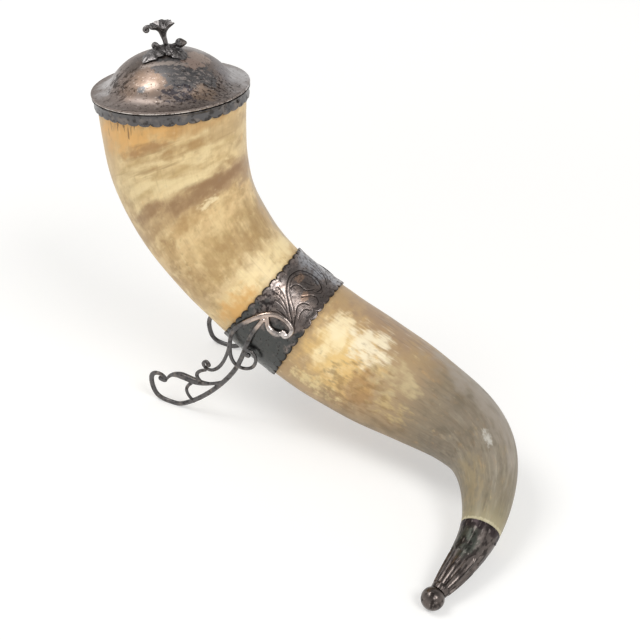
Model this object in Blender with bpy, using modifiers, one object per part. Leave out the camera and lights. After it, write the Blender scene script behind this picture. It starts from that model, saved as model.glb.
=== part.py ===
"""A mounted drinking horn: a curved natural horn with a scalloped rim collar, a lift-off domed lid with
a flower finial, a scalloped belly band on two openwork scroll feet, and a fluted tip cap that ends in a
ball. The horn stands on the two feet and the ball. Sizes are in millimetres and become metres when a
mesh is made. The band's middle stands over the origin of the modelling frame; +X runs along the band
towards the tip, and the feet and the ball stand on Z = 0."""

import math

import bmesh
import bpy
import numpy as np
from mathutils import Matrix, Vector

MM = 0.001
WELD = 2e-6

# Where the modelling frame's origin lies from the middle of the whole object's footprint
FRAME_PLACE = (-27.8, 44.0, 0.0)

# Horn: x, y, z and outer radius at stations from the mouth to the ball
HORN_STATIONS = (
    (-72.0, -7.2, 214.0, 44.6),
    (-64.0, -9.5, 156.0, 41.0),
    (-23.1, -5.5, 97.9, 35.6),
    (48.3, -3.3, 58.5, 35.6),
    (122.5, -15.0, 44.0, 27.0),
    (153.0, -35.0, 31.5, 19.3),
    (163.0, -65.0, 18.9, 12.7),
    (161.4, -93.4, 11.7, 9.4),
    (155.0, -122.0, 6.3, 6.6),
)
# The mouth is cut a little askew: how far its axis leans for each millimetre up, and over what length
MOUTH_LEAN = (-0.055, -0.027, 0.0)
MOUTH_LEAN_LENGTH = 40.0
HORN_SAMPLES = 601
HORN_COLUMNS = 28
HORN_ROWS = 28
CAVITY_ROWS = 12
CAVITY_END_ROWS = 5
WALL = 2.5
CAVITY_STRAIGHT = 262.0
CAVITY_END = 352.0
MOUTH_ABOVE = 5.9
GAP = 0.3

# Rim collar, a folded channel over the mouth edge; heights are above the first station
COLLAR_SKIN = 1.1
COLLAR_TOP = 7.2
COLLAR_BOTTOM = 0.3
COLLAR_FLARE = 0.8
COLLAR_BEAD = 2.6
COLLAR_LIP = 1.0
COLLAR_EASE = 0.25
COLLAR_SCALLOPS = 40
COLLAR_SCALLOP_DEPTH = 1.5
LINER_BOTTOM = 0.8
LINER_SKIN = 0.8
LINER_EASE = 0.5
SCALLOP_STEPS = 3

# Belly band
BAND_MIDDLE = 159.5
BAND_LENGTH = 40.0
BAND_SKIN = 0.9
BAND_GAP = 0.45
BAND_SCALLOPS = 34
BAND_SCALLOP_DEPTH = 2.4
BAND_HEM = 4.5
# The sleeve is straight and the horn bends, so it covers more of the axis on the bend's inner side
BAND_STRETCH = 0.105
BAND_INNER_SIDE = 70.0

# Lid, in its own frame: Z runs up the mouth's axis from the flange's underside
LID_SEAT = 7.5
LID_SKIN = 1.8
LID_PROFILE = ((47.4, 1.9), (42.9, 2.4), (37.1, 4.9), (32.7, 10.1), (24.4, 16.9), (13.0, 21.5), (2.4, 22.7))
LID_ROWS = 9
LID_STEPS = 36
BEZEL_OUTER = 40.3
BEZEL_SKIN = 1.4
BEZEL_TOP = 0.8
BEZEL_BOTTOM = -8.0

# Finial; its X points to the viewer's right and its Y away from the viewer
FINIAL_TURN = 26.7
MOUND_BASE = 23.3
MOUND_RADIUS = 5.6
MOUND_HEIGHT = 3.2
STUD_RADIUS = 1.8
STUD_END = 15.2
LEAF_BEARINGS = (229.0, 314.0, 20.0, 96.0, 158.0)
LEAF_LENGTHS = (18.5, 17.5, 9.6, 10.6, 10.0)
LEAF_WIDTH = 8.6
LEAF_SKIN = 1.0
LEAF_DIP = 3.6
FLOWER_LOBES = 5
BUD_PLACE = (8.9, -3.4, 27.8)
BUD_RADIUS = 2.8
BUD_TIP = 1.3
BUD_STALK = ((2.0, 0.0, 24.8), (4.4, -1.2, 25.8), (6.4, -2.1, 26.8))
BUD_STALK_RADII = (1.3, 1.2, 1.2)
BERRY = ((1.6, -3.0, 25.2), (2.5, -7.0, 25.1), (3.1, -10.8, 23.9))
BERRY_RADII = (1.3, 1.1, 1.3)
CURL = ((-3.4, 0.0, 24.4), (-5.8, -0.4, 24.8), (-7.3, -0.6, 25.9), (-6.4, -0.8, 27.2), (-5.0, -0.8, 26.6))
CURL_RADII = (1.5, 1.2, 1.0, 1.0)
FLOWER_RINGS = ((0.0, 0.0), (0.0, 1.5), (3.0, 1.8), (6.2, 2.6), (8.9, 3.7), (10.6, 5.0), (11.5, 6.1),
                (11.9, 6.0), (11.2, 4.5), (9.4, 2.8), (6.6, 1.4), (6.4, 0.0))
FLOWER_LEAN = 0.9
FLOWER_TILT = 0.14
FLOWER_RUFFLE = 0.5
FLOWER_ROLL = 3.4
WASHER_RADIUS = 5.6
WASHER_TOP = 20.3
WASHER_BOTTOM = 19.5
NUT_RADIUS = 4.4
NUT_TOP = 19.1
NUT_BOTTOM = 16.0

# Scroll feet: each one's distance sideways from the band's middle, at the band and on the floor
FOOT_SIDES = {"near_foot": (39.3, 32.0), "far_foot": (39.3, 43.0)}
FOOT_FLATTEN = 0.85

# The feet's strands, drawn flat: distance towards the tip and height above the floor, radii and ring count
STRANDS = {
    "main_scroll": (
        ((-79, 21), (-76, 20.5), (-76, 23.5), (-81.5, 25), (-87, 19.5), (-86.5, 7.5), (-81, 2),
         (-72, 1), (-62, 4.5), (-43, 20), (-23.5, 42.5), (-12, 62.5), (-3.5, 83.5), (4.5, 97)),
        (1.6, 1.1, 1.5, 1.6, 1.6, 1.5, 1.4, 1.2), 26),
    "band_loop": (
        ((-6.5, 67.5), (-9, 69), (-5, 72), (-1, 67), (-4.5, 58), (-13.5, 55), (-19.5, 62.5),
         (-17.5, 80), (-9.5, 91), (7, 101), (19.5, 98.5), (23, 92.5), (19.5, 89), (18, 91.5)),
        (1.4, 0.9, 1.0, 1.1, 1.1, 1.2, 1.2, 1.0, 1.4), 28),
    "band_leaf": (((7, 98.5), (8.5, 93), (13.5, 90), (19, 91.5)), (1.0, 1.5, 1.6, 0.9), 6),
    "brace": (
        ((-19, 74.5), (-22, 64), (-28.5, 51), (-37, 44), (-42, 47), (-39.5, 50.5), (-38, 48)),
        (0.9, 1.0, 1.1, 1.0, 1.0, 1.4), 12),
    "leaf_spray": (
        ((-27, 37.5), (-39, 31), (-51, 29), (-61, 30), (-69.5, 27.5), (-74.5, 21.5)),
        (1.0, 1.0, 1.9, 2.1, 1.1, 0.8), 10),
    "leaf_hook": (((-45.5, 29), (-48.5, 34), (-46.5, 39), (-41, 42.5)), (1.2, 1.1, 1.0, 0.9), 6),
    "lower_brace": (((-52.5, 27.5), (-58, 21), (-58.5, 14.5), (-54.5, 9)), (1.0, 0.9, 0.9, 1.0), 6),
}

# Tip cap and ball; distances run back along the horn from the ball's centre
CAP_EDGE = 53.2
CAP_SKIN = 0.9
CAP_PROFILE = ((52.9, 11.9), (41.7, 10.5), (29.7, 9.1), (17.7, 7.5), (6.1, 5.2))
CAP_ROWS = 7
CAP_FLUTES = 12
CAP_FLUTE_STEPS = 4
CAP_FLUTE_START = 33.7
CAP_FLUTE_FULL = 27.7
CAP_FLUTE_DEPTH = 0.55
CAP_BORE_END = 17.7
CAP_NECK = 4.0
CAP_SOCKET_STEP = 3.0
BALL_RADIUS = 6.7

# Pins that hold the mounts to the horn: distance along the horn and bearing round it, in degrees
PIN_RADIUS = 0.6
PIN_HEAD = 1.0
PIN_HEAD_HEIGHT = 0.35
PIN_LENGTH = 2.9
PIN_PLACES = {
    "rim_pin": ((-4.2, 90.0), (-4.2, 180.0), (-4.2, 270.0)),
    "band_pin": ((171.0, 205.0), (171.0, 270.0)),
    "cap_pin": ((375.3, 150.0), (375.3, 270.0)),
}

HORN_COLOUR = (0.52, 0.36, 0.15)
PLATE_COLOUR = (0.19, 0.165, 0.155)
DARK_PLATE_COLOUR = (0.075, 0.068, 0.064)
BLOCK_NAME = "drinking_horn"


def clear_scene():
    """Remove every object of the scene."""
    for item in list(bpy.data.objects):
        bpy.data.objects.remove(item, do_unlink=True)


def new_collection(name, hidden=False):
    """Make a collection in the scene; a hidden one holds cutters and patterns."""
    collection = bpy.data.collections.new(name)
    collection.hide_render = hidden
    bpy.context.scene.collection.children.link(collection)
    return collection


def make_material(name, colour, roughness, metallic):
    """Make a material with one colour."""
    material = bpy.data.materials.new(name)
    material.use_nodes = True
    shader = material.node_tree.nodes["Principled BSDF"]
    shader.inputs["Base Color"].default_value = (*colour, 1.0)
    shader.inputs["Roughness"].default_value = roughness
    shader.inputs["Metallic"].default_value = metallic
    return material


def natural_spline(rows):
    """Return a function of the row number whose smooth curve passes through every row."""
    rows = np.asarray(rows, float)
    last = len(rows) - 1
    system = np.eye(last + 1)
    pull = np.zeros_like(rows)
    for row in range(1, last):
        system[row, row - 1:row + 2] = (1.0, 4.0, 1.0)
        pull[row] = 6.0 * (rows[row - 1] - 2.0 * rows[row] + rows[row + 1])
    bend = np.linalg.solve(system, pull)

    def at(place):
        first = np.clip(np.floor(place).astype(int), 0, last - 1)
        along = (place - first)[:, None]
        back = 1.0 - along
        straight = back * rows[first] + along * rows[first + 1]
        curved = (back**3 - back) * bend[first] + (along**3 - along) * bend[first + 1]
        return straight + curved / 6.0

    return at


def spline_points(rows, count):
    """Sample the smooth curve through the rows at evenly spaced row numbers."""
    return natural_spline(rows)(np.linspace(0.0, len(rows) - 1.0, count))


def smooth_step(value, start, full):
    """Rise from 0 at start to 1 at full."""
    part = np.clip((value - start) / (full - start), 0.0, 1.0)
    return part * part * (3.0 - 2.0 * part)


class HornLine:
    """The horn's centre line with a frame that doesn't twist: near side, crown and direction."""

    def __init__(self):
        rows = spline_points(HORN_STATIONS, HORN_SAMPLES)
        steps = np.linalg.norm(np.diff(rows[:, :3], axis=0), axis=1)
        self.length = np.concatenate(([0.0], np.cumsum(steps)))
        self.ball_at = float(self.length[-1])
        self.centre = rows[:, :3]
        self.width = rows[:, 3]
        askew = 1.0 - smooth_step(self.length, 0.0, MOUTH_LEAN_LENGTH)
        ahead = np.gradient(self.centre, self.length, axis=0) - askew[:, None] * np.array(MOUTH_LEAN)
        self.ahead = ahead / np.linalg.norm(ahead, axis=1)[:, None]
        near = [np.array((0.0, -1.0, 0.0))]
        for direction in self.ahead:
            side = near[-1] - (near[-1] @ direction) * direction
            near.append(side / np.linalg.norm(side))
        self.near = np.array(near[1:])
        self.crown = np.cross(self.near, self.ahead)

    def pick(self, values, along):
        """Read a sampled vector at distances along the line."""
        columns = [np.interp(along, self.length, values[:, k]) for k in range(3)]
        return np.stack(columns, axis=-1)

    def radius(self, along):
        """The horn's outer radius; above the first station it goes on widening at the same rate."""
        flare = (self.width[0] - self.width[10]) / (self.length[10] - self.length[0])
        return np.interp(along, self.length, self.width) + flare * np.maximum(-along, 0.0)

    def point(self, along, bearing, radius):
        """Points at distances along the line, at bearings round it and radii from it."""
        along = np.asarray(along, float)
        ahead = self.pick(self.ahead, along)
        centre = self.pick(self.centre, along) + np.minimum(along, 0.0)[..., None] * ahead
        outward = np.cos(bearing)[..., None] * self.pick(self.near, along)
        outward = outward + np.sin(bearing)[..., None] * self.pick(self.crown, along)
        return centre + np.asarray(radius)[..., None] * outward


class Workshop:
    """Holds the collections and the parent empties, and makes the objects."""

    def __init__(self):
        self.parts = new_collection(BLOCK_NAME)
        self.cutters = new_collection(BLOCK_NAME + "_cutters", hidden=True)
        self.stand = self.empty("stand", Matrix.Translation(Vector(FRAME_PLACE) * MM), None)

    def empty(self, name, matrix, parent):
        """Add an empty that carries other objects."""
        item = bpy.data.objects.new(name, None)
        item.parent = parent
        item.matrix_local = matrix
        self.parts.objects.link(item)
        return item

    def add(self, name, mesh, material, parent=None, matrix=None):
        """Add a mesh as a named part."""
        mesh.materials.clear()
        mesh.materials.append(material)
        mesh.shade_smooth()
        mesh.set_sharp_from_angle(angle=math.radians(35.0))
        item = bpy.data.objects.new(name, mesh)
        item.parent = parent or self.stand
        item.matrix_local = matrix or Matrix.Identity(4)
        self.parts.objects.link(item)
        return item

    def hide(self, name, mesh, parent=None, matrix=None):
        """Add a mesh as a hidden cutter or pattern."""
        item = bpy.data.objects.new(name, mesh)
        item.parent = parent or self.stand
        item.matrix_local = matrix or Matrix.Identity(4)
        item.hide_render = True
        item.display_type = "WIRE"
        self.cutters.objects.link(item)
        return item


def grid_mesh(name, columns, rows, place):
    """A grid whose points go where place(u, v) says, in millimetres; seams and poles are merged."""
    work = bmesh.new()
    bmesh.ops.create_grid(work, x_segments=columns, y_segments=rows, size=0.5)
    flat = np.array([vertex.co[:2] for vertex in work.verts]) + 0.5
    points = place(flat[:, 0], flat[:, 1]) * MM
    for vertex, point in zip(work.verts, points):
        vertex.co = point
    return finish_mesh(name, work)


def finish_mesh(name, work):
    """Merge doubles, turn the faces outwards and write the mesh."""
    bmesh.ops.remove_doubles(work, verts=work.verts, dist=WELD)
    bmesh.ops.dissolve_degenerate(work, edges=work.edges, dist=WELD)
    bmesh.ops.recalc_face_normals(work, faces=work.faces)
    mesh = bpy.data.meshes.new(name)
    work.to_mesh(mesh)
    work.free()
    return mesh


def ring_mesh(name, columns, rings, point):
    """A closed skin through rings: point turns a ring's values and the columns' bearings to places."""
    rings = np.asarray(rings, float)
    last = len(rings) - 1

    def place(u, v):
        row = np.rint(v * last).astype(int)
        return point(*rings[row].T, 2.0 * math.pi * u)

    return grid_mesh(name, columns, last, place)


def turned_mesh(name, profile, steps, skin=0.0):
    """A profile of (radius, height) points, from top to bottom on its outer side, turned round Z."""
    work = bmesh.new()
    points = [work.verts.new((radius * MM, 0.0, height * MM)) for radius, height in profile]
    for first, second in zip(points, points[1:]):
        work.edges.new((first, second))
    mesh = bpy.data.meshes.new(name)
    work.to_mesh(mesh)
    work.free()
    guide = bpy.data.objects.new(name + "_profile", mesh)
    bpy.context.scene.collection.objects.link(guide)
    screw = guide.modifiers.new("turn", "SCREW")
    screw.steps = steps
    screw.render_steps = steps
    screw.use_merge_vertices = True
    screw.merge_threshold = 1e-5
    if skin:
        shell = guide.modifiers.new("skin", "SOLIDIFY")
        shell.thickness = skin * MM
        shell.offset = -1.0
        shell.use_even_offset = True
    return evaluated_mesh(guide)


def evaluated_mesh(item):
    """Apply an object's modifiers or bevel, remove the object and return its welded mesh."""
    bpy.context.view_layer.update()
    graph = bpy.context.evaluated_depsgraph_get()
    mesh = bpy.data.meshes.new_from_object(item.evaluated_get(graph))
    name = item.name
    bpy.data.objects.remove(item, do_unlink=True)
    work = bmesh.new()
    work.from_mesh(mesh)
    return finish_mesh(name, work)


def join(target, other, operation, solver="EXACT"):
    """Cut another object from the target, or fuse it on."""
    change = target.modifiers.new(operation.lower() + "_" + other.name, "BOOLEAN")
    change.operation = operation
    change.object = other
    change.solver = solver


def scallop(bearing, count):
    """0 in each notch and 1 along each lobe's tip."""
    return np.abs(np.sin(0.5 * count * bearing)) ** 0.7


def make_horn(shop, line, material):
    """The horn: tenon for the cap, outer skin, mouth edge and the deep round-ended cavity."""
    cap_edge = line.ball_at - CAP_EDGE
    tenon_end = line.ball_at - CAP_BORE_END - 2.0
    bore = cap_stations(line)[3::-1] - (0.0, CAP_SKIN + GAP + 0.1)
    tenon = [(tenon_end, 0.0), (tenon_end, bore[0, 1]), *bore[1:3], (cap_edge, bore[3, 1])]
    outer_at = np.linspace(cap_edge, -MOUTH_ABOVE, HORN_ROWS)
    outer = list(zip(outer_at, line.radius(outer_at)))
    straight_at = np.linspace(0.0, CAVITY_STRAIGHT, CAVITY_ROWS)
    rounding = np.sin(np.linspace(0.0, 0.5 * math.pi, CAVITY_END_ROWS))[1:]
    round_at = CAVITY_STRAIGHT + rounding * (CAVITY_END - CAVITY_STRAIGHT)
    inner_at = np.concatenate(((-MOUTH_ABOVE,), straight_at, round_at))
    closing = np.clip((inner_at - CAVITY_STRAIGHT) / (CAVITY_END - CAVITY_STRAIGHT), 0.0, 1.0)
    inner_radius = (line.radius(inner_at) - WALL) * np.sqrt(1.0 - closing**2)
    inner = list(zip(inner_at, inner_radius))

    def point(along, radius, bearing):
        return line.point(along, bearing, radius)

    mesh = ring_mesh("horn_body", HORN_COLUMNS, tenon + outer + inner, point)
    return shop.add("horn_body", mesh, material)


def cap_stations(line):
    """The cap's stations as distances along the horn from its first station, with their radii."""
    rows = np.array(CAP_PROFILE)
    rows[:, 0] = line.ball_at - rows[:, 0]
    return rows


def make_collar(shop, line, material):
    """The rim collar: scalloped outer skirt, lip over the mouth edge and plain liner."""
    skirt = float(line.radius(np.array(-0.5 * MOUTH_ABOVE))) + COLLAR_EASE + GAP
    liner = BEZEL_OUTER + LINER_EASE
    under = COLLAR_TOP - COLLAR_LIP
    rings = (
        (COLLAR_BOTTOM, skirt + COLLAR_SKIN),
        (COLLAR_TOP - COLLAR_BEAD, skirt + COLLAR_SKIN),
        (COLLAR_TOP, skirt + COLLAR_SKIN + COLLAR_FLARE),
        (COLLAR_TOP, liner),
        (LINER_BOTTOM, liner),
        (LINER_BOTTOM, liner + LINER_SKIN),
        (under, liner + LINER_SKIN),
        (under, skirt),
        (COLLAR_BOTTOM, skirt),
        (COLLAR_BOTTOM, skirt + COLLAR_SKIN),
    )

    def point(height, radius, bearing):
        notch = (1.0 - scallop(bearing, COLLAR_SCALLOPS)) * COLLAR_SCALLOP_DEPTH
        edge = np.where(height == COLLAR_BOTTOM, height + notch, height)
        return line.point(-edge, bearing, radius)

    mesh = ring_mesh("rim_collar", COLLAR_SCALLOPS * SCALLOP_STEPS, rings, point)
    return shop.add("rim_collar", mesh, material)


def make_band(shop, line, material):
    """The belly band: a sleeve that follows the horn, with lobes along both edges."""
    half = 0.5 * BAND_LENGTH
    outside = (-half, BAND_HEM - half, 0.0, half - BAND_HEM, half)
    inside = (half, 0.0, -half)
    rings = [(along, BAND_GAP + BAND_SKIN) for along in outside]
    rings += [(along, BAND_GAP) for along in inside]
    rings.append(rings[0])

    def point(along, offset, bearing):
        notch = (1.0 - scallop(bearing, BAND_SCALLOPS)) * BAND_SCALLOP_DEPTH
        edge = np.where(np.abs(along) == half, along - np.sign(along) * notch, along)
        stretch = 1.0 + BAND_STRETCH * np.cos(bearing - math.radians(BAND_INNER_SIDE))
        at = BAND_MIDDLE + edge * stretch
        return line.point(at, bearing, line.radius(at) + offset)

    mesh = ring_mesh("band_sleeve", BAND_SCALLOPS * SCALLOP_STEPS, rings, point)
    return shop.add("band_sleeve", mesh, material)


def make_lid(shop, axis, plate):
    """The domed lid and the bezel soldered under it."""
    profile = spline_points(LID_PROFILE, LID_ROWS)[::-1]
    shop.add("lid_dome", turned_mesh("lid_dome", profile, LID_STEPS, LID_SKIN), plate, axis)
    ring = flat_ring(BEZEL_OUTER - BEZEL_SKIN, BEZEL_OUTER, BEZEL_TOP, BEZEL_BOTTOM)
    shop.add("lid_bezel", turned_mesh("lid_bezel", ring, LID_STEPS), plate, axis)


def flat_ring(inner, outer, top, bottom):
    """The closed profile of a ring with square edges, from its inner top edge outwards."""
    return ((inner, top), (outer, top), (outer, bottom), (inner, bottom), (inner, top))


def leaf_mesh(name, bearing, length):
    """A drooping leaf: its width swells and closes, its edges hang below the midrib and its tip dips."""
    turn = math.radians(bearing)

    def place(u, v):
        out = 1.5 + v * (length - 1.5)
        half = 0.5 * LEAF_WIDTH * np.sin(math.pi * np.clip(0.18 + 0.82 * v, 0.0, 0.985)) ** 0.7
        across = (2.0 * u - 1.0) * half * (1.0 + 0.12 * np.cos(6.0 * math.pi * v))
        droop = 0.9 * (2.0 * u - 1.0) ** 2 * half / LEAF_WIDTH * 2.0
        dip = LEAF_DIP * (v * length / LEAF_LENGTHS[0]) ** 2
        height = MOUND_BASE + 1.7 + 0.9 * np.sin(math.pi * v) - dip - droop
        x = out * math.cos(turn) - across * math.sin(turn)
        y = out * math.sin(turn) + across * math.cos(turn)
        return np.stack((x, y, height), axis=-1)

    return grid_mesh(name, 4, 4, place)


def stalk_mesh(name, points, radii, count):
    """A round stalk along a smooth curve through points, with a radius that changes along it."""
    path = spline_points(points, count)
    widths = np.interp(np.linspace(0.0, 1.0, count), np.linspace(0.0, 1.0, len(radii)), radii)
    curve = bpy.data.curves.new(name, "CURVE")
    curve.dimensions = "3D"
    curve.bevel_depth = MM
    curve.bevel_resolution = 1
    curve.use_fill_caps = True
    spline = curve.splines.new("POLY")
    spline.points.add(count - 1)
    for place, centre, width in zip(spline.points, path, widths):
        place.co = (*(centre * MM), 1.0)
        place.radius = width
    guide = bpy.data.objects.new(name, curve)
    bpy.context.scene.collection.objects.link(guide)
    return evaluated_mesh(guide)


def make_finial(shop, axis, plate):
    """The cast finial: leaf cluster with its stud, flower, bud, washer and nut."""
    turn = Matrix.Rotation(math.radians(FINIAL_TURN), 4, "Z")
    top = MOUND_BASE + MOUND_HEIGHT
    mound = ((0.0, top), (2.6, top - 0.3), (4.6, MOUND_BASE + 1.6), (MOUND_RADIUS, MOUND_BASE),
             (STUD_RADIUS, MOUND_BASE), (STUD_RADIUS, STUD_END), (0.0, STUD_END))
    leaves = shop.add("finial_leaves", turned_mesh("finial_leaves", mound, 12), plate, axis, turn)
    for number, (bearing, length) in enumerate(zip(LEAF_BEARINGS, LEAF_LENGTHS), 1):
        leaf = shop.hide(f"leaf_{number}", leaf_mesh(f"leaf_{number}", bearing, length), axis, turn)
        shell = leaf.modifiers.new("skin", "SOLIDIFY")
        shell.thickness = LEAF_SKIN * MM
        shell.offset = -1.0
        join(leaves, leaf, "UNION", "MANIFOLD")
    stalk = shop.hide("bud_stalk", stalk_mesh("bud_stalk", BUD_STALK, BUD_STALK_RADII, 5), axis, turn)
    curl = shop.hide("leaf_curl", stalk_mesh("leaf_curl", CURL, CURL_RADII, 9), axis, turn)
    berry = shop.hide("berry", stalk_mesh("berry", BERRY, BERRY_RADII, 5), axis, turn)
    for piece in (stalk, curl, berry):
        join(leaves, piece, "UNION", "MANIFOLD")
    shop.add("finial_flower", flower_mesh(top + GAP), plate, axis, turn)
    shop.add("finial_bud", bud_mesh("finial_bud", BUD_PLACE, BUD_RADIUS, BUD_TIP), plate, axis, turn)
    hole = STUD_RADIUS + GAP
    washer = flat_ring(hole, WASHER_RADIUS, WASHER_TOP, WASHER_BOTTOM)
    shop.add("finial_washer", turned_mesh("finial_washer", washer, 12), plate, axis)
    nut = flat_ring(hole, NUT_RADIUS, NUT_TOP, NUT_BOTTOM)
    shop.add("finial_nut", turned_mesh("finial_nut", nut, 6), plate, axis)


def flower_mesh(bottom):
    """A trumpet flower: a slim tube that opens to five ruffled lobes, one of them drawn out and rolled."""

    def point(height, radius, bearing):
        open_part = smooth_step(radius, 2.0, 6.0)
        lobes = 1.0 + 0.14 * open_part * np.cos(FLOWER_LOBES * (bearing - math.pi))
        long_lobe = 0.62 * open_part * np.clip(np.cos(bearing - math.pi), 0.0, 1.0) ** 8
        reach = radius * (lobes + long_lobe)
        x = reach * np.cos(bearing)
        y = reach * np.sin(bearing)
        ruffle = FLOWER_RUFFLE * open_part * np.cos(FLOWER_LOBES * bearing)
        tilt = (FLOWER_TILT * x - FLOWER_ROLL * long_lobe) * open_part
        lean = FLOWER_LEAN * smooth_step(height, 0.0, 6.0)
        return np.stack((x - lean, y, bottom + height + ruffle + tilt), axis=-1)

    return ring_mesh("finial_flower", 20, FLOWER_RINGS, point)


def bud_mesh(name, place, radius, tip):
    """A ball drawn out to a point on its right side."""
    turns = np.linspace(0.0, math.pi, 8)
    rings = np.stack((-np.cos(turns), np.sin(turns)), axis=-1)

    def point(along, across, bearing):
        x = radius * along + tip * np.clip(along, 0.0, 1.0) ** 6
        y = radius * across * np.cos(bearing)
        z = radius * across * np.sin(bearing)
        return np.stack((x, y, z), axis=-1) + np.array(place)

    return ring_mesh(name, 10, rings, point)


def flat_foot_mesh(shop):
    """The scroll foot drawn flat: strands along X and Z, fused to one openwork casting."""
    pieces = []
    for name, (points, radii, count) in STRANDS.items():
        path = [(along, 0.0, height) for along, height in points]
        pieces.append(shop.hide(name, stalk_mesh(name, path, radii, count)))
    for piece in pieces:
        piece.parent = None
    for piece in pieces[1:]:
        join(pieces[0], piece, "UNION")
    mesh = evaluated_mesh(pieces[0])
    for piece in pieces[1:]:
        bpy.data.objects.remove(piece, do_unlink=True)
    return mesh


def make_feet(shop, line, material):
    """Bend the flat casting round each side of the band, lean it to its floor place and cut its sole."""
    flat = flat_foot_mesh(shop)
    points = np.empty(len(flat.vertices) * 3)
    flat.vertices.foreach_get("co", points)
    points = points.reshape(-1, 3) / MM
    at = np.array(BAND_MIDDLE)
    middle = line.pick(line.centre, at)
    ahead = line.pick(line.ahead, at)
    ahead = np.array((ahead[0], 0.0, ahead[2])) / math.hypot(ahead[0], ahead[2])
    rise = np.array((-ahead[2], 0.0, ahead[0]))
    from_middle = (points - middle) * (1.0, 0.0, 1.0)
    along = from_middle @ ahead
    above = from_middle @ rise
    for name, (stand_off, floor_off) in FOOT_SIDES.items():
        side = -1.0 if name == "near_foot" else 1.0
        reach = stand_off + FOOT_FLATTEN * points[:, 1]
        turn = np.maximum(above, 0.0) / stand_off
        lift = np.minimum(above, 0.0) + reach * np.sin(turn)
        placed = middle + along[:, None] * ahead + lift[:, None] * rise
        lean = np.clip(1.0 - placed[:, 2] / middle[2], 0.0, None) * (floor_off - stand_off)
        placed[:, 1] += side * (reach * np.cos(turn) + lean)
        mesh = flat.copy()
        mesh.name = name
        mesh.vertices.foreach_set("co", (placed * MM).ravel())
        shop.add(name, floor_cut(name, mesh), material)


def floor_cut(name, mesh):
    """Cut away what lies below the floor and close the flat sole."""
    work = bmesh.new()
    work.from_mesh(mesh)
    parts = work.verts[:] + work.edges[:] + work.faces[:]
    cut = bmesh.ops.bisect_plane(work, geom=parts, plane_co=(0, 0, 0), plane_no=(0, 0, -1), clear_outer=True)
    edges = [item for item in cut["geom_cut"] if isinstance(item, bmesh.types.BMEdge)]
    bmesh.ops.contextual_create(work, geom=edges)
    return finish_mesh(name, work)


def make_tip(shop, line, material):
    """The fluted tip cap with its tenon bore and ball socket, and the ball with its flat sole."""
    stations = cap_stations(line)
    outer = spline_points(stations, CAP_ROWS)
    bore = stations[3::-1] - (0.0, CAP_SKIN)
    neck = float(outer[-1, 0])
    to_ball = line.ball_at - outer[:, 0]
    depth = CAP_FLUTE_DEPTH * smooth_step(to_ball, CAP_FLUTE_START, CAP_FLUTE_FULL)
    depth *= 1.0 - smooth_step(outer[:, 0], neck - CAP_NECK, neck)
    socket = BALL_RADIUS + GAP
    seat = np.array((float(outer[-1, 1]), CAP_SOCKET_STEP, 0.0))
    rings = [(line.ball_at - CAP_BORE_END, 0.0, 0.0)]
    rings += [(along, radius, 0.0) for along, radius in bore]
    rings += [(along, radius, hollow) for (along, radius), hollow in zip(outer, depth)]
    rings += [(along, radius, 0.0) for along, radius in zip(line.ball_at - np.sqrt(socket**2 - seat**2), seat)]

    def point(along, radius, hollow, bearing):
        flute = np.abs(np.cos(0.5 * CAP_FLUTES * bearing))
        return line.point(along, bearing, radius - hollow * flute)

    mesh = ring_mesh("tip_cap", CAP_FLUTES * CAP_FLUTE_STEPS, rings, point)
    shop.add("tip_cap", mesh, material)
    work = bmesh.new()
    bmesh.ops.create_uvsphere(work, u_segments=16, v_segments=10, radius=BALL_RADIUS * MM)
    bmesh.ops.translate(work, verts=work.verts, vec=Vector(line.centre[-1]) * MM)
    shop.add("tip_ball", floor_cut("tip_ball", mesh_of("tip_ball", work)), material)


def mesh_of(name, work):
    """Write a bmesh to a mesh as it is."""
    mesh = bpy.data.meshes.new(name)
    work.to_mesh(mesh)
    work.free()
    return mesh


def make_pins(shop, line, material, horn):
    """Small pins through each mount into the horn, with a hole round each one."""
    mounts = {"rim_pin": "rim_collar", "band_pin": "band_sleeve", "cap_pin": "tip_cap"}
    skins = {"rim_pin": GAP + COLLAR_EASE + GAP + COLLAR_SKIN, "band_pin": BAND_GAP + BAND_SKIN, "cap_pin": 0.0}
    profile = ((0.0, PIN_HEAD_HEIGHT), (PIN_HEAD * 0.7, PIN_HEAD_HEIGHT * 0.8), (PIN_HEAD, 0.0),
               (PIN_RADIUS, 0.0), (PIN_RADIUS, -PIN_LENGTH), (0.0, -PIN_LENGTH))
    hole = PIN_RADIUS + GAP
    drill = ((0.0, 3.0), (hole, 3.0), (hole, -PIN_LENGTH - GAP), (0.0, -PIN_LENGTH - GAP))
    for kind, places in PIN_PLACES.items():
        mount = bpy.data.objects[mounts[kind]]
        for number, (along, bearing) in enumerate(places, 1):
            matrix = pin_matrix(line, kind, along, math.radians(bearing), skins[kind])
            name = f"{kind}_{number}"
            shop.add(name, turned_mesh(name, profile, 8), material, matrix=matrix)
            cutter = shop.hide(name + "_hole", turned_mesh(name + "_hole", drill, 8), matrix=matrix)
            join(mount, cutter, "DIFFERENCE")
            join(horn, cutter, "DIFFERENCE")


def pin_matrix(line, kind, along, bearing, skin):
    """Where a pin's head seats, GAP above the mount's outside, with Z pointing out of the horn."""
    along = np.array(along)
    bearing = np.array(bearing)
    if kind == "cap_pin":
        stations = cap_stations(line)
        radius = np.interp(along, stations[:, 0], stations[:, 1])
    else:
        radius = line.radius(along) + skin
    seat = line.point(along, bearing, radius + GAP)
    outward = Vector(seat - line.point(along, bearing, np.array(0.0))).normalized()
    return Matrix.Translation(Vector(seat) * MM) @ outward.to_track_quat("Z", "Y").to_matrix().to_4x4()


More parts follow.
